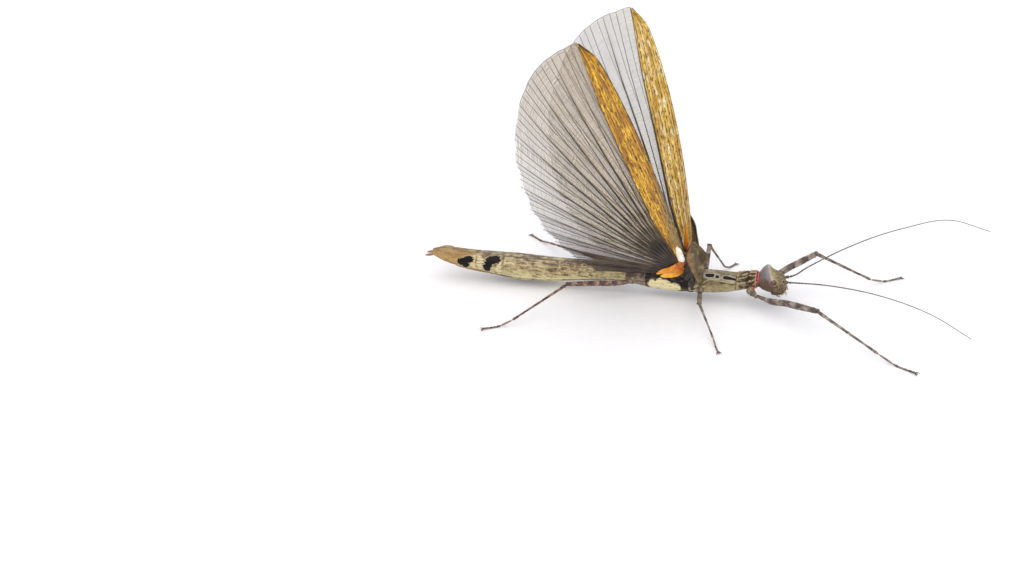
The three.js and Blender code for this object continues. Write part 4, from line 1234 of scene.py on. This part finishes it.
# Forewings are leathery cuticle, stiff and dry, half matt, and blotched like lichen on bark.
forewing_leather, tree, shader = new_material("forewing_leather", Roughness=0.5, Specular_IOR_Level=0.4)
value = {
    key: add(tree, "ShaderNodeAttribute", attribute_name=key).outputs["Fac"]
    for key in ("across", "out", "boss")
}
place = millimetres(tree)
blotches = add(tree, "ShaderNodeTexNoise", {"Vector": place, "Scale": 0.8, "Detail": 5.0})
cells = add(tree, "ShaderNodeTexVoronoi", {"Vector": place, "Scale": 3.2}, feature="DISTANCE_TO_EDGE")
grain = add(tree, "ShaderNodeTexNoise", {"Vector": place, "Scale": 5.0, "Detail": 3.0})
shade = add(tree, "ShaderNodeValToRGB", {"Fac": value["out"]}, stops=[
    (0.0, "#64562F"), (0.4, "#706038"), (0.75, "#78663E"), (1.0, "#5E4828"),
])
shade = painted(tree, shade, [
    (blotches, ((0.48, 0.0), (0.6, 0.9)), "#43321C"),
    (blotches, ((0.34, 0.8), (0.46, 0.0)), "#9C8E5E"),
    (cells.outputs["Distance"], ((0.0, 0.6), (0.08, 0.0)), "#958A68"),
    (grain, ((0.36, 0.75), (0.52, 0.0)), "#33281A"),
    (value["boss"], ((0.35, 0.0), (0.8, 0.9)), "#38240F"),
    (value["boss"], ((0.2, 0.0), (0.34, 0.3), (0.48, 0.0)), "#8E6430"),
    (value["across"], ((0.08, 0.0), (0.15, 0.9), (0.22, 0.0)), "#A0602A"),
    (value["across"], ((0.0, 1.0), (0.09, 0.0)), "#1A110B"),
    (value["across"], ((0.9, 0.0), (1.0, 0.8)), "#3E2E1C"),
])
coated(tree, shader, shade, cells.outputs["Distance"], 0.5, 0.06)

for side, sign in SIDES:
    base, tip = (np.array(end) * (1, sign, 1) for end in FOREWING_ENDS[side])
    facing = np.array([0, sign, -0.12]) / math.hypot(1, 0.12)
    across = np.cross(facing, tip - base)
    across *= sign / np.linalg.norm(across)
    t, column = np.meshgrid(np.linspace(0, 1, 130), np.linspace(-1, 1, 70), indexing="ij")
    in_front, in_rear = along_curve(FOREWING_OUTLINE[:, 0], FOREWING_OUTLINE[:, 1:], t[:, 0]).T
    half = FOREWING_BREADTH[side] * np.where(column < 0, in_rear[:, None], in_front[:, None])
    boss = np.exp(-(((t - 0.68) / 0.17) ** 2) - ((column - 0.62) / 0.4) ** 2)
    lift = FOREWING_BREADTH[side] * FOREWING_DOME * boss + 0.35 * (1 - column**2)
    grid = (base + (tip - base) * t[..., None] + across * (half * column)[..., None]
            + facing * lift[..., None])
    grid += facing * (0.05 * lumps(grid, 0.8, 91) + 0.03 * lumps(grid, 0.35, 92))[..., None]
    ribs = sum(line(column, place, 0.035) for place in (-0.55, 0.18, 0.42, 0.64, 0.84))
    net = 1 - np.clip(np.abs(lumps(grid * (1, 1, 0.7), 0.42, 93)) / 0.12, 0, 1)
    thick = FOREWING_THICKNESS + 0.34 * line(column, -0.06, 0.06) + 0.12 * ribs + 0.07 * net
    thick = thick + 0.12 * line(np.abs(column), 1, 0.03)
    wing = sheet_piece(f"forewing_{side}", grid, thick, forewing_leather,
                       {"across": (column + 1) / 2, "out": t, "boss": boss})
    finished(wing, "forewing", f"tegmen_{side}")

# ---- Hindwings: front panels ----
# The stiff front strip of each hindwing is opaque and golden, mottled brown along its lengthwise
# veins. Folded, it covers the fan behind it and hides the insect among bark.
WING_ROOT = np.array([-2.5, 2.05, 7.1])
WING_LENGTH, WING_REACH, WING_START = 58.2, 58.9, 1.6
WING_SET = {"left": (11, 13.5), "right": (2.5, 21.4)}  # degrees of outward lean and of backward sweep
PANEL_BOW, PANEL_RIB = 3.4, 1.65
PANEL_VEINS = (0.0, 0.1, 0.22, 0.36, 0.5, 0.63, 0.76, 0.88, 1.0)
PANEL_THICKNESS = 0.12


def wing_frame(side):
    """A wing's root, and its directions outwards, rearwards and facing away from the body."""
    sign = 1 if side == "left" else -1
    lean, sweep = np.radians(WING_SET[side])
    upright = np.array([0, sign * np.sin(lean), np.cos(lean)])
    back = np.array([-1.0, 0, 0])
    out = upright * np.cos(sweep) + back * np.sin(sweep)
    rear = back * np.cos(sweep) - upright * np.sin(sweep)
    return WING_ROOT * (1, sign, 1), out, rear, np.array([0, sign * np.cos(lean), -np.sin(lean)])


def on_wing(side, out, behind, lift):
    """Points in mm from places out along a wing, behind its axis and lifted off its plane."""
    root, axis, rear, face = wing_frame(side)
    return root + out[..., None] * axis + behind[..., None] * rear + lift[..., None] * face


def front_edge(out):
    """How far a panel's front edge lies behind the wing's axis: less than 0, so in front."""
    return -PANEL_BOW * np.sin(np.pi * np.clip(out / WING_LENGTH, 0, 1) ** 1.2) ** 0.45


def rib_line(out):
    """How far a panel's rear rib lies behind the wing's axis."""
    return PANEL_RIB * np.clip(out / 14, 0, 1) ** 0.7 * (1 - 0.45 * np.clip((out - 44) / 14, 0, 1))


def belly(out):
    """How far a wing bows off its plane, most halfway out."""
    return 1.1 * np.sin(np.pi * np.clip(out / WING_LENGTH, 0, 1))


def panel_place(out, across):
    """A place on the front panel, from its front edge at 0 to its rear rib at 1."""
    rear = rib_line(out)
    tip = 1 - np.clip(1 - (WING_LENGTH + 0.3 - out) / 6, 0, 1) ** 2.5
    front = rear + (np.minimum(front_edge(out), rear - 0.5) - rear) * tip
    behind = front + (rear - front) * across
    corrugated = 0.11 * np.cos(np.pi * 8 * across) * np.clip(out / 10, 0, 1)
    return out, behind, belly(out) + corrugated


def golden_leather(name, stops, dash, glow, dull):
    """The front panel's colours: gold, clouded lengthwise, with dark dashes and pale patches."""
    made, tree, shader = new_material(name, Roughness=0.42, Specular_IOR_Level=0.45)
    out, across, vein = (
        add(tree, "ShaderNodeAttribute", attribute_name=key).outputs["Fac"]
        for key in ("out", "across", "vein")
    )
    drawn = add(tree, "ShaderNodeCombineXYZ", {"X": out, "Y": across})

    # Marks about so many mm long and wide, each kind read from its own part of the noise.
    broad, dashes, patches, fine = (
        add(tree, "ShaderNodeTexNoise", {
            "Vector": add(tree, "ShaderNodeMapping", {
                "Vector": drawn, "Location": (shift, shift * 1.7, 0), "Scale": (1 / long, 1 / wide, 1),
            }),
            "Scale": 1.0, "Detail": 4.0,
        })
        for long, wide, shift in ((7, 1.8, 2), (1.3, 0.2, 11), (3.2, 0.8, 23), (0.4, 0.2, 37))
    )
    shade = add(tree, "ShaderNodeValToRGB", {"Fac": broad}, stops=stops)
    near_vein = add(tree, "ShaderNodeMath", {0: vein, 1: 0.17, 2: dashes}, operation="MULTIPLY_ADD")
    # The strip's front half is dull grey-tan near the root, and gold spreads over it further out.
    inward = add(tree, "ShaderNodeMapRange", {"Value": out, "From Min": 30.0, "From Max": 2.0})
    forward = add(tree, "ShaderNodeMath", {0: across, 1: -0.22, 2: inward}, operation="MULTIPLY_ADD")
    shade = painted(tree, shade, [
        (patches, ((0.52, 0.0), (0.62, 0.85)), glow),
        (forward, ((0.02, 0.0), (0.2, 0.8)), dull),
        (near_vein, ((0.56, 0.0), (0.62, 0.95)), dash),
        (fine, ((0.32, 0.6), (0.48, 0.0)), dash),
    ])
    coated(tree, shader, shade, fine, 0.4, 0.05)
    return made


# The left panel is painted paler than the right: its inner face is the one in view, one colour
# serves both its faces, and the paler colour is partly painted light that makes up for the
# shadow the right panel casts on it.
PANEL_LEATHER = {
    "right": golden_leather(
        "front_panel_leather_right",
        [(0.32, "#96621A"), (0.5, "#CB9024"), (0.66, "#E8B030")], "#432A0E", "#FFD23C", "#9A8458",
    ),
    "left": golden_leather(
        "front_panel_leather_left",
        [(0.32, "#C4943A"), (0.5, "#F0C65C"), (0.66, "#FFDD86")], "#503616", "#FFF4C4", "#E0BC78",
    ),
}
for side in ("left", "right"):
    out, across = np.meshgrid(
        np.linspace(WING_START, WING_LENGTH - 0.1, 300), np.linspace(0, 1, 65), indexing="ij"
    )
    grid = on_wing(side, *panel_place(out, across))
    vein = sum(line(across, place, 0.014) for place in PANEL_VEINS)
    thick = PANEL_THICKNESS + 0.13 * vein + 0.16 * line(across, 0, 0.03) + 0.14 * line(across, 1, 0.03)
    thick = thick + 0.02 * lumps(grid, 0.4, 95)
    panel = sheet_piece(f"hindwing_panel_{side}", grid, thick, PANEL_LEATHER[side], {
        "out": out, "across": across * 5, "vein": np.clip(vein, 0, 1),
    })
    finished(panel, "hindwing_panel", f"hindwing_front_{side}")

# ---- Hindwings: fans ----
# Behind each panel a fine smoky membrane opens like a hand fan on twenty-three stiff veins that
# spread from the wing's root, dark and light by turns, with pleats between them.
PLEATS, FAN_SPREAD = 22, 71.5
PLEAT_DEPTH = 0.32
MEMBRANE_THICKNESS = 0.015
STRIPS_PER_PLEAT = 6


def fan_reach(degrees):
    """How long the fan is at an angle behind its first vein. It shortens towards the body."""
    past = degrees - 12
    return WING_REACH * (1 - 0.0054 * (np.hypot(past, 6) + past))


def fan_place(vein, share):
    """A place on the fan: from vein 0 behind the panel to the last one, and from root to margin."""
    def on_vein(number, share):
        degrees = FAN_SPREAD * number / PLEATS
        angle = np.radians(degrees)
        # Every other vein ends short of the margin's points, more so in the rear half.
        shortfall = (number % 2) * (0.12 + 0.4 * np.clip((number - 9) / 4, 0, 1))
        reach = fan_reach(degrees + 1.7 * (1 - number / PLEATS)) - shortfall
        out = WING_START + (reach - WING_START) * share
        aside = (rib_line(out) + 0.05) * (1 - number / PLEATS)
        ridge = np.where(number > 0, PLEAT_DEPTH, 0) * share * (1 - 2 * (number % 2))
        return np.stack([
            out * np.cos(angle) - aside * np.sin(angle),
            out * np.sin(angle) + aside * np.cos(angle),
            belly(out * np.cos(angle)) + ridge,
        ])

    low = np.clip(np.floor(vein), 0, PLEATS - 1)
    part = vein - low
    # The margin bulges between veins.
    bulge = 0.003 * np.sin(np.pi * part) * np.clip((share - 0.9) * 10, 0, 1)
    return (1 - part) * on_vein(low, share + bulge) + part * on_vein(low + 1, share + bulge)


def smoky_membrane(name, stops, strength):
    """A clear wing skin tinted smoky brown, more so along the dark veins and towards the body, with
    painted shade on one slope of each pleat and in the rear pleats' valleys.
    """
    made, tree, shader = new_material(name, Roughness=0.35, Specular_IOR_Level=0.35)
    sector, fold, smokiness, fading, turned = (
        add(tree, "ShaderNodeAttribute", attribute_name=key).outputs["Fac"]
        for key in ("sector", "fold", "smokiness", "fading", "turned")
    )
    clouds = add(tree, "ShaderNodeTexNoise", {"Vector": millimetres(tree), "Scale": 0.35, "Detail": 4.0})
    shade = add(tree, "ShaderNodeValToRGB", {"Fac": sector}, stops=stops)
    # Each pleat is painted darker on one of its two slopes, most near the root: painted shade of the fold.
    under = add(tree, "ShaderNodeMath", {0: turned, 1: fading}, operation="MULTIPLY")
    under = add(tree, "ShaderNodeMath", {0: under, 1: 0.75}, operation="MULTIPLY")
    shade = add(tree, "ShaderNodeMix", {"Factor": under, "A": shade, "B": colour("#3E3024")},
                data_type="RGBA")
    # In the rear of the fan the pleats' valleys are painted dark, as painted shade in the folds.
    rearmost = add(tree, "ShaderNodeValToRGB", {"Fac": sector}, stops=[(0.5, 0.0), (0.72, 1.0)])
    painted_valley_shade = [(fold, ((0.72, 0.0), (0.95, 0.85)), "#2E2422")]
    shade = painted(tree, shade, painted_valley_shade, within=rearmost)
    stain = add(tree, "ShaderNodeValToRGB", {"Fac": fold}, stops=[(0.06, 0.95), (0.24, 0.0)])
    where = add(tree, "ShaderNodeValToRGB", {"Fac": sector}, stops=[(0.02, 1.0), (0.45, 0.9), (0.75, 0.45)])
    by_vein = add(tree, "ShaderNodeMath", {0: stain, 1: where}, operation="MULTIPLY")
    by_vein = add(tree, "ShaderNodeMath", {0: by_vein, 1: fading}, operation="MULTIPLY")
    shade = add(tree, "ShaderNodeMix", {"Factor": by_vein, "A": shade, "B": colour("#33241A")},
                data_type="RGBA")
    shade = painted(tree, shade, [(fading, ((0.9, 0.0), (1.0, 0.9)), "#8A5A24")])
    cloudy = add(tree, "ShaderNodeMath", {0: clouds, 1: 0.12, 2: smokiness}, operation="MULTIPLY_ADD")
    cloudy = add(tree, "ShaderNodeMath", {0: cloudy, 1: -0.06}, operation="ADD")
    stained = add(tree, "ShaderNodeMath", {0: by_vein, 1: 0.5, 2: cloudy}, operation="MULTIPLY_ADD")
    clear = add(tree, "ShaderNodeMath", {0: stained, 1: strength}, operation="MULTIPLY", use_clamp=True)
    tree.links.new(shade.outputs[2], shader.inputs["Base Color"])
    tree.links.new(clear.outputs[0], shader.inputs["Alpha"])
    return made


FAN_MEMBRANE = {
    "right": smoky_membrane(
        "smoky_membrane_right",
        [(0.0, "#A6884A"), (0.1, "#AC9056"), (0.5, "#AC9660"), (0.7, "#8E7B55"), (0.84, "#64564A"),
         (1.0, "#4A3D3E")], 1.0,
    ),
    "left": smoky_membrane(
        "smoky_membrane_left",
        [(0.0, "#ACA07C"), (0.1, "#A89E80"), (0.7, "#8E846C"), (1.0, "#6A6460")], 0.7,
    ),
}
# Wing veins are hollow tubes of hard dark horn, with a slight sheen.
vein_horn = mottled_cuticle(
    "wing_vein_horn", [(0.3, "#1E150C"), (0.5, "#33261A"), (0.7, "#564230")], 2.5, 0.4
)

# Wing veins are round tubes that follow the membrane, each as thick as its own radius says.
vein_group, given, result = node_group(
    "wing_veins", Thickness="Float", Sides="Int", Material="Material"
)
wires = add(vein_group, "GeometryNodeMeshToCurve", {"Mesh": given.outputs["Geometry"]})
own_radius = add(vein_group, "GeometryNodeInputNamedAttribute", {"Name": "radius"}, data_type="FLOAT")
thick = add(vein_group, "ShaderNodeMath", {
    0: own_radius, 1: given.outputs["Thickness"],
}, operation="MULTIPLY")
section = add(vein_group, "GeometryNodeCurvePrimitiveCircle", {
    "Resolution": given.outputs["Sides"], "Radius": 1.0,
})
tubes = add(vein_group, "GeometryNodeCurveToMesh", {
    "Curve": wires, "Profile Curve": section, "Scale": thick, "Fill Caps": True,
})
end_tree(vein_group, given, result, tubes)

VEIN_POINTS = 90
CROSS_VEIN_STEP = 0.42  # mm between the fine rungs that cross each pleat
NET_STEP = 0.85  # mm between the rungs of the panel's net
random = np.random.default_rng(17)
for side in ("left", "right"):
    columns = np.linspace(0, PLEATS, PLEATS * STRIPS_PER_PLEAT + 1)
    share, vein = np.meshgrid(np.linspace(0, 1, 120), columns, indexing="ij")
    steps = np.stack([np.floor(vein * 2) * 0.7, 0 * vein, 0 * vein], axis=-1)
    # The rear margin is frayed, in steps half a pleat wide.
    fray = 0.5 + 0.7 * lumps(steps + 0.35, 1.0, 97)
    worn = share * (1 - 0.05 * fray * np.clip((vein - 9) / 6, 0, 1) * np.clip(share * 4 - 3, 0, 1))
    grid = on_wing(side, *fan_place(vein, worn))
    fold = np.abs((vein + 1) % 2 - 1)
    outer = np.clip((share - 0.5) / 0.5, 0, 1)
    density = 0.55 + 0.1 * (1 - share) ** 1.5 - 0.34 * outer * line(vein, 12.5, 6)
    density += 0.36 * np.clip((vein - 14) / 5, 0, 1) * (1 - share**2.5)
    if side == "left":
        density *= 1 - 0.94 * np.clip((vein - 3.5) / 3.5, 0, 1) * np.clip(share * 2.5 - 0.5, 0, 1)
    # Light crosses both faces of the skin, so each face holds back the root of the whole.
    density = 1 - np.sqrt(1 - np.clip(density, 0, 0.98))
    density += 0.25 * np.clip(1 - vein / 1.3, 0, 1) * np.clip(1.5 - 2.4 * share, 0, 1)
    # The turned value marks the slope of each pleat that the membrane paints in shade.
    fan = sheet_piece(f"hindwing_membrane_{side}", grid, MEMBRANE_THICKNESS, FAN_MEMBRANE[side], {
        "sector": vein / PLEATS, "fold": fold, "smokiness": density, "fading": 1 - share,
        "turned": 0.5 + 0.5 * np.clip(3 * np.sin(np.pi * vein), -1, 1),
    })
    finished(fan, "hindwing_membrane", f"hindwing_fan_{side}")

    lines, radii = [], []
    share = np.linspace(0, 1, VEIN_POINTS)
    for number in range(PLEATS + 1):
        lines.append(on_wing(side, *fan_place(np.full(VEIN_POINTS, float(number)), share)))
        stout = 0.32 if number % 2 == 0 else 0.12
        stout *= 1 - 0.45 * np.clip((number - 9) / 6, 0, 1)
        if side == "left" and number > 5:
            stout *= 0.4
        radii.append(stout * (1 - share) ** 1.3 + 0.05)
    for number in range(1, 2 * PLEATS, 2):  # short veins that fork off halfway to the margin
        forked = 0.5 + 0.09 * (number // 2 % 3) + 0.5 * share
        beside = number / 2 - 0.5 * (1 - share) ** 2
        lines.append(on_wing(side, *fan_place(beside, np.minimum(forked, 1))))
        radii.append(np.full(VEIN_POINTS, 0.042 if side == "right" or number < 12 else 0.025))
    # A thin vein also runs along the first part of the margin.
    lines.append(on_wing(side, *fan_place(np.linspace(0, 6, VEIN_POINTS), np.ones(VEIN_POINTS))))
    radii.append(np.full(VEIN_POINTS, 0.05))
    main_veins = grown(f"hindwing_veins_{side}", thread("veins", lines, {"radius": radii}), vein_group,
                       Thickness=0.001, Sides=8, Material=vein_horn)
    finished(main_veins, "hindwing_membrane")

    lines, radii = [], []
    for pleat in range(PLEATS):
        reach = fan_reach(FAN_SPREAD * pleat / PLEATS)
        places = np.arange(5 + 0.3 * (pleat % 3), reach - 0.4, CROSS_VEIN_STEP)
        for out in places + random.uniform(-0.12, 0.12, len(places)):
            part = np.linspace(0, 1, 4)
            bowed = out / reach + 0.002 * np.sin(np.pi * part)
            lines.append(on_wing(side, *fan_place(pleat + part, bowed)))
            radii.append(np.full(4, 0.028 if side == "right" else 0.02))
    rungs = grown(f"hindwing_cross_veins_{side}", thread("rungs", lines, {"radius": radii}), vein_group,
                  Thickness=0.001, Sides=4, Material=vein_horn)
    finished(rungs, "hindwing_membrane")

    lines, radii = [], []
    for left_vein, right_vein in zip(PANEL_VEINS[:-1], PANEL_VEINS[1:]):
        places = np.arange(4, WING_LENGTH - 1.5, NET_STEP)
        for out in places + random.uniform(-0.2, 0.2, len(places)):
            part = np.linspace(0, 1, 4)
            slant = out + 0.3 * (part - 0.5)
            across = left_vein + (right_vein - left_vein) * part
            lines.append(on_wing(side, *panel_place(slant, across)))
            radii.append(np.full(4, 0.075))
    net = grown(f"hindwing_panel_net_{side}", thread("net", lines, {"radius": radii}), vein_group,
                Thickness=0.001, Sides=4, Material=PANEL_LEATHER[side])
    finished(net, "hindwing_panel")

# ---- Wing roots ----
# Small hard plates and soft flaps join wing to trunk: a white plate at the panel's root, dark hinge
# plates round it, and a fleshy two-lobed orange flap that shows only when the wing is raised.
# The flaps are soft wet-looking skin, thin enough for light to sink in, so their orange glows.
flap_skin, tree, shader = new_material(
    "orange_flap_skin", Roughness=0.45, Subsurface_Weight=0.2, Subsurface_Scale=0.0005
)
toward_edge = add(tree, "ShaderNodeAttribute", attribute_name="edge").outputs["Fac"]
mottle = add(tree, "ShaderNodeTexNoise", {"Vector": millimetres(tree), "Scale": 1.4, "Detail": 4.0})
mixed = add(tree, "ShaderNodeMath", {0: mottle, 1: 0.5, 2: toward_edge}, operation="MULTIPLY_ADD")
tint = add(tree, "ShaderNodeValToRGB", {"Fac": mixed},
           stops=[(0.15, "#7E3406"), (0.42, "#C46C06"), (0.7, "#EA980E"), (1.0, "#FFC03C")])
coated(tree, shader, tint, mottle, 0.6, 0.08)

# The white plate is smooth enamel-like cuticle, ivory with a soft shine.
white_plate = mottled_cuticle(
    "white_plate_cuticle", [(0.3, "#DCCBA4"), (0.45, "#FBF4E2"), (0.7, "#FFFFFF")], 0.8, 0.35
)
# Hinge plates are thick black-brown cuticle, rubbed smooth where they slide.
hinge_cuticle = mottled_cuticle(
    "hinge_cuticle", [(0.3, "#0C0807"), (0.5, "#20160F"), (0.7, "#44321F")], 0.6, 0.4
)
LOBES = (  # from the hinge to the lobe's end, half its width, how far it stands out, yellowness
    ((-2.9, 10.4), (-4.2, 9.2), (-5.8, 8.2), 0.9, 2.55, 0.0),
    ((-3.4, 9.3), (-6.0, 8.3), (-9.0, 6.8), 0.85, 2.7, 0.22),
    ((-3.2, 7.9), (-5.4, 7.2), (-8.0, 6.4), 0.85, 2.9, 0.4),
    ((-3.1, 8.8), (-4.4, 8.1), (-6.3, 7.6), 0.8, 2.95, 0.1),
)
LOBE_RINGS, LOBE_SIDES = 40, 36
HINGES = (  # middle and half sizes of the plates at one wing's root
    ((-2.3, 2.6, 6.3), (0.75, 0.4, 0.9)), ((-3.4, 2.45, 6.7), (0.6, 0.35, 0.6)),
    ((-1.2, 2.7, 5.5), (0.7, 0.35, 0.8)), ((-4.6, 2.3, 6.3), (0.8, 0.3, 0.5)),
    ((-1.3, 2.5, 4.2), (0.9, 0.35, 1.1)), ((-1.6, 2.0, 2.9), (0.8, 0.4, 0.6)),
    ((-2.0, 2.45, 8.5), (1.0, 0.4, 1.3)), ((-1.3, 2.6, 7.2), (0.9, 0.4, 1.2)),
)
WHITE_PLATE = {"left": (9.0, 12.0, 0.5), "right": (3.0, 7.2, 0.88)}  # from, to, half its width
for side, sign in SIDES:
    lobes, share = [], np.linspace(0, 1, LOBE_RINGS)
    for number, (*knots, half, stand, _) in enumerate(LOBES):
        middle = along_curve([0, 0.5, 1], np.array(knots), share)
        leaning = math.tan(math.radians(WING_SET[side][0])) * np.clip(middle[:, 1] - 6.2, 0, 9)
        rooted = np.clip(share / 0.3, 0, 1)  # the root end sits in the hinge plates
        puff = sign * (2.35 + (stand - 2.1 + leaning) * rooted + 0.3 * np.sin(np.pi * share))
        path = np.stack([middle[:, 0], puff, middle[:, 1]], axis=-1)
        width = half * np.sqrt(np.clip(1 - (2 * share - 0.95) ** 4, 0.04, 1)) * (1 - 0.35 * share)
        rings = tube_rings(path, width, LOBE_SIDES, flat=0.4, crown=(0, 1, 0))
        lobes.append(raised(rings, 0.17 * lumps(rings * (0.55, 1, 1), 0.6, 101 + number)))
    paler = np.linspace(-0.05, 0.3, LOBE_RINGS)[:, None]
    edge = [np.broadcast_to(lobe[-1] + paler, (LOBE_RINGS, LOBE_SIDES)) for lobe in LOBES]
    flap = stack_skins(f"wing_flap_{side}", lobes, flap_skin, {"edge": edge})
    finished(flap, "hindwing_membrane")

    low, high, broad = WHITE_PLATE[side]
    out = low + (high - low) * share
    root_path = on_wing(side, out, -0.35 - 0.5 * share, 0.25 + belly(out))
    width = broad * np.sqrt(np.clip(1 - (2 * share - 1) ** 4, 0.03, 1)) * (1.0 - 0.35 * share)
    rings = tube_rings(root_path, width, 28, flat=0.55, crown=(0, 1, 0))
    rings = raised(rings, 0.1 * lumps(rings, 0.5, 103))
    finished(closed_skin(f"white_root_plate_{side}", rings, white_plate), "hindwing_panel")

    streak_path = on_wing(side, 1.4 + 7.8 * share, 0.5 - 1.6 * share, 0.3 + 0 * share)
    width = 0.78 * np.sin(np.pi * (0.04 + 0.92 * share)) ** 0.5 * (1 - 0.6 * share)
    rings = tube_rings(streak_path, width, 24, flat=0.5, crown=(0, 1, 0))
    rings = raised(rings, 0.06 * lumps(rings, 0.4, 104))
    streak = closed_skin(f"wing_root_streak_{side}", rings, flap_skin, {
        "edge": np.broadcast_to(0.55 * share[:, None] - 0.05, rings.shape[:2]),
    })
    finished(streak, "hindwing_panel")

    hinges = [ball_rings(np.array(middle) * (1, sign, 1), size, sides=28, steps=20)
              for middle, size in HINGES]
    hinges = [raised(rings, 0.06 * lumps(rings, 0.4, 105)) for rings in hinges]
    finished(stack_skins(f"wing_hinge_{side}", hinges, hinge_cuticle), "thorax_shell")

# ---- Floor and lights ----
# A pale seamless paper floor, lit by one large soft lamp overhead, one beside the camera and the
# pale room round them.
# Studio paper is uncoated, near white and quite matt.
paper, tree, shader = new_material("studio_paper", Roughness=0.8)
shader.inputs["IOR"].default_value = 1.45
fibres = add(tree, "ShaderNodeTexNoise", {"Vector": millimetres(tree), "Scale": 0.4, "Detail": 3.0})
tint = add(tree, "ShaderNodeValToRGB", {"Fac": fibres}, stops=[(0.3, "#F4F6F8"), (0.7, "#F8F9FA")])
tree.links.new(tint.outputs[0], shader.inputs["Base Color"])
FLOOR_HALF = 3.0
corners = [(-1, -1), (1, -1), (1, 1), (-1, 1)]
floor_mesh = bpy.data.meshes.new("floor")
floor_mesh.from_pydata([(x * FLOOR_HALF, y * FLOOR_HALF, 0) for x, y in corners], [], [(0, 1, 2, 3)])
floor_mesh.materials.append(paper)
floor = bpy.data.objects.new("floor", floor_mesh)
bpy.context.scene.collection.objects.link(floor)

room = bpy.data.worlds.new("room")
room.use_nodes = True
room.node_tree.nodes["Background"].inputs["Color"].default_value = colour("#E2E9FA")
room.node_tree.nodes["Background"].inputs["Strength"].default_value = 0.74
bpy.context.scene.world = room

# Lamps: name, place in metres, size in metres, power in watts, colour.
LAMPS = [
    ("overhead_lamp", (-0.15, 0.05, 0.95), 1.9, 10.4, "#FFF3E2"),
    ("side_lamp", (0.30, -0.80, 0.60), 0.6, 3.2, "#FFF4E6"),
]
for name, place, size, power, tone in LAMPS:
    lamp = bpy.data.lights.new(name, "AREA")
    lamp.size, lamp.energy, lamp.color = size, power, colour(tone)[:3]
    holder = bpy.data.objects.new(name, lamp)
    holder.location = place
    holder.rotation_euler = Vector(place).to_track_quat("Z", "Y").to_euler()
    bpy.context.scene.collection.objects.link(holder)
bpy.context.scene.view_settings.view_transform = "Standard"
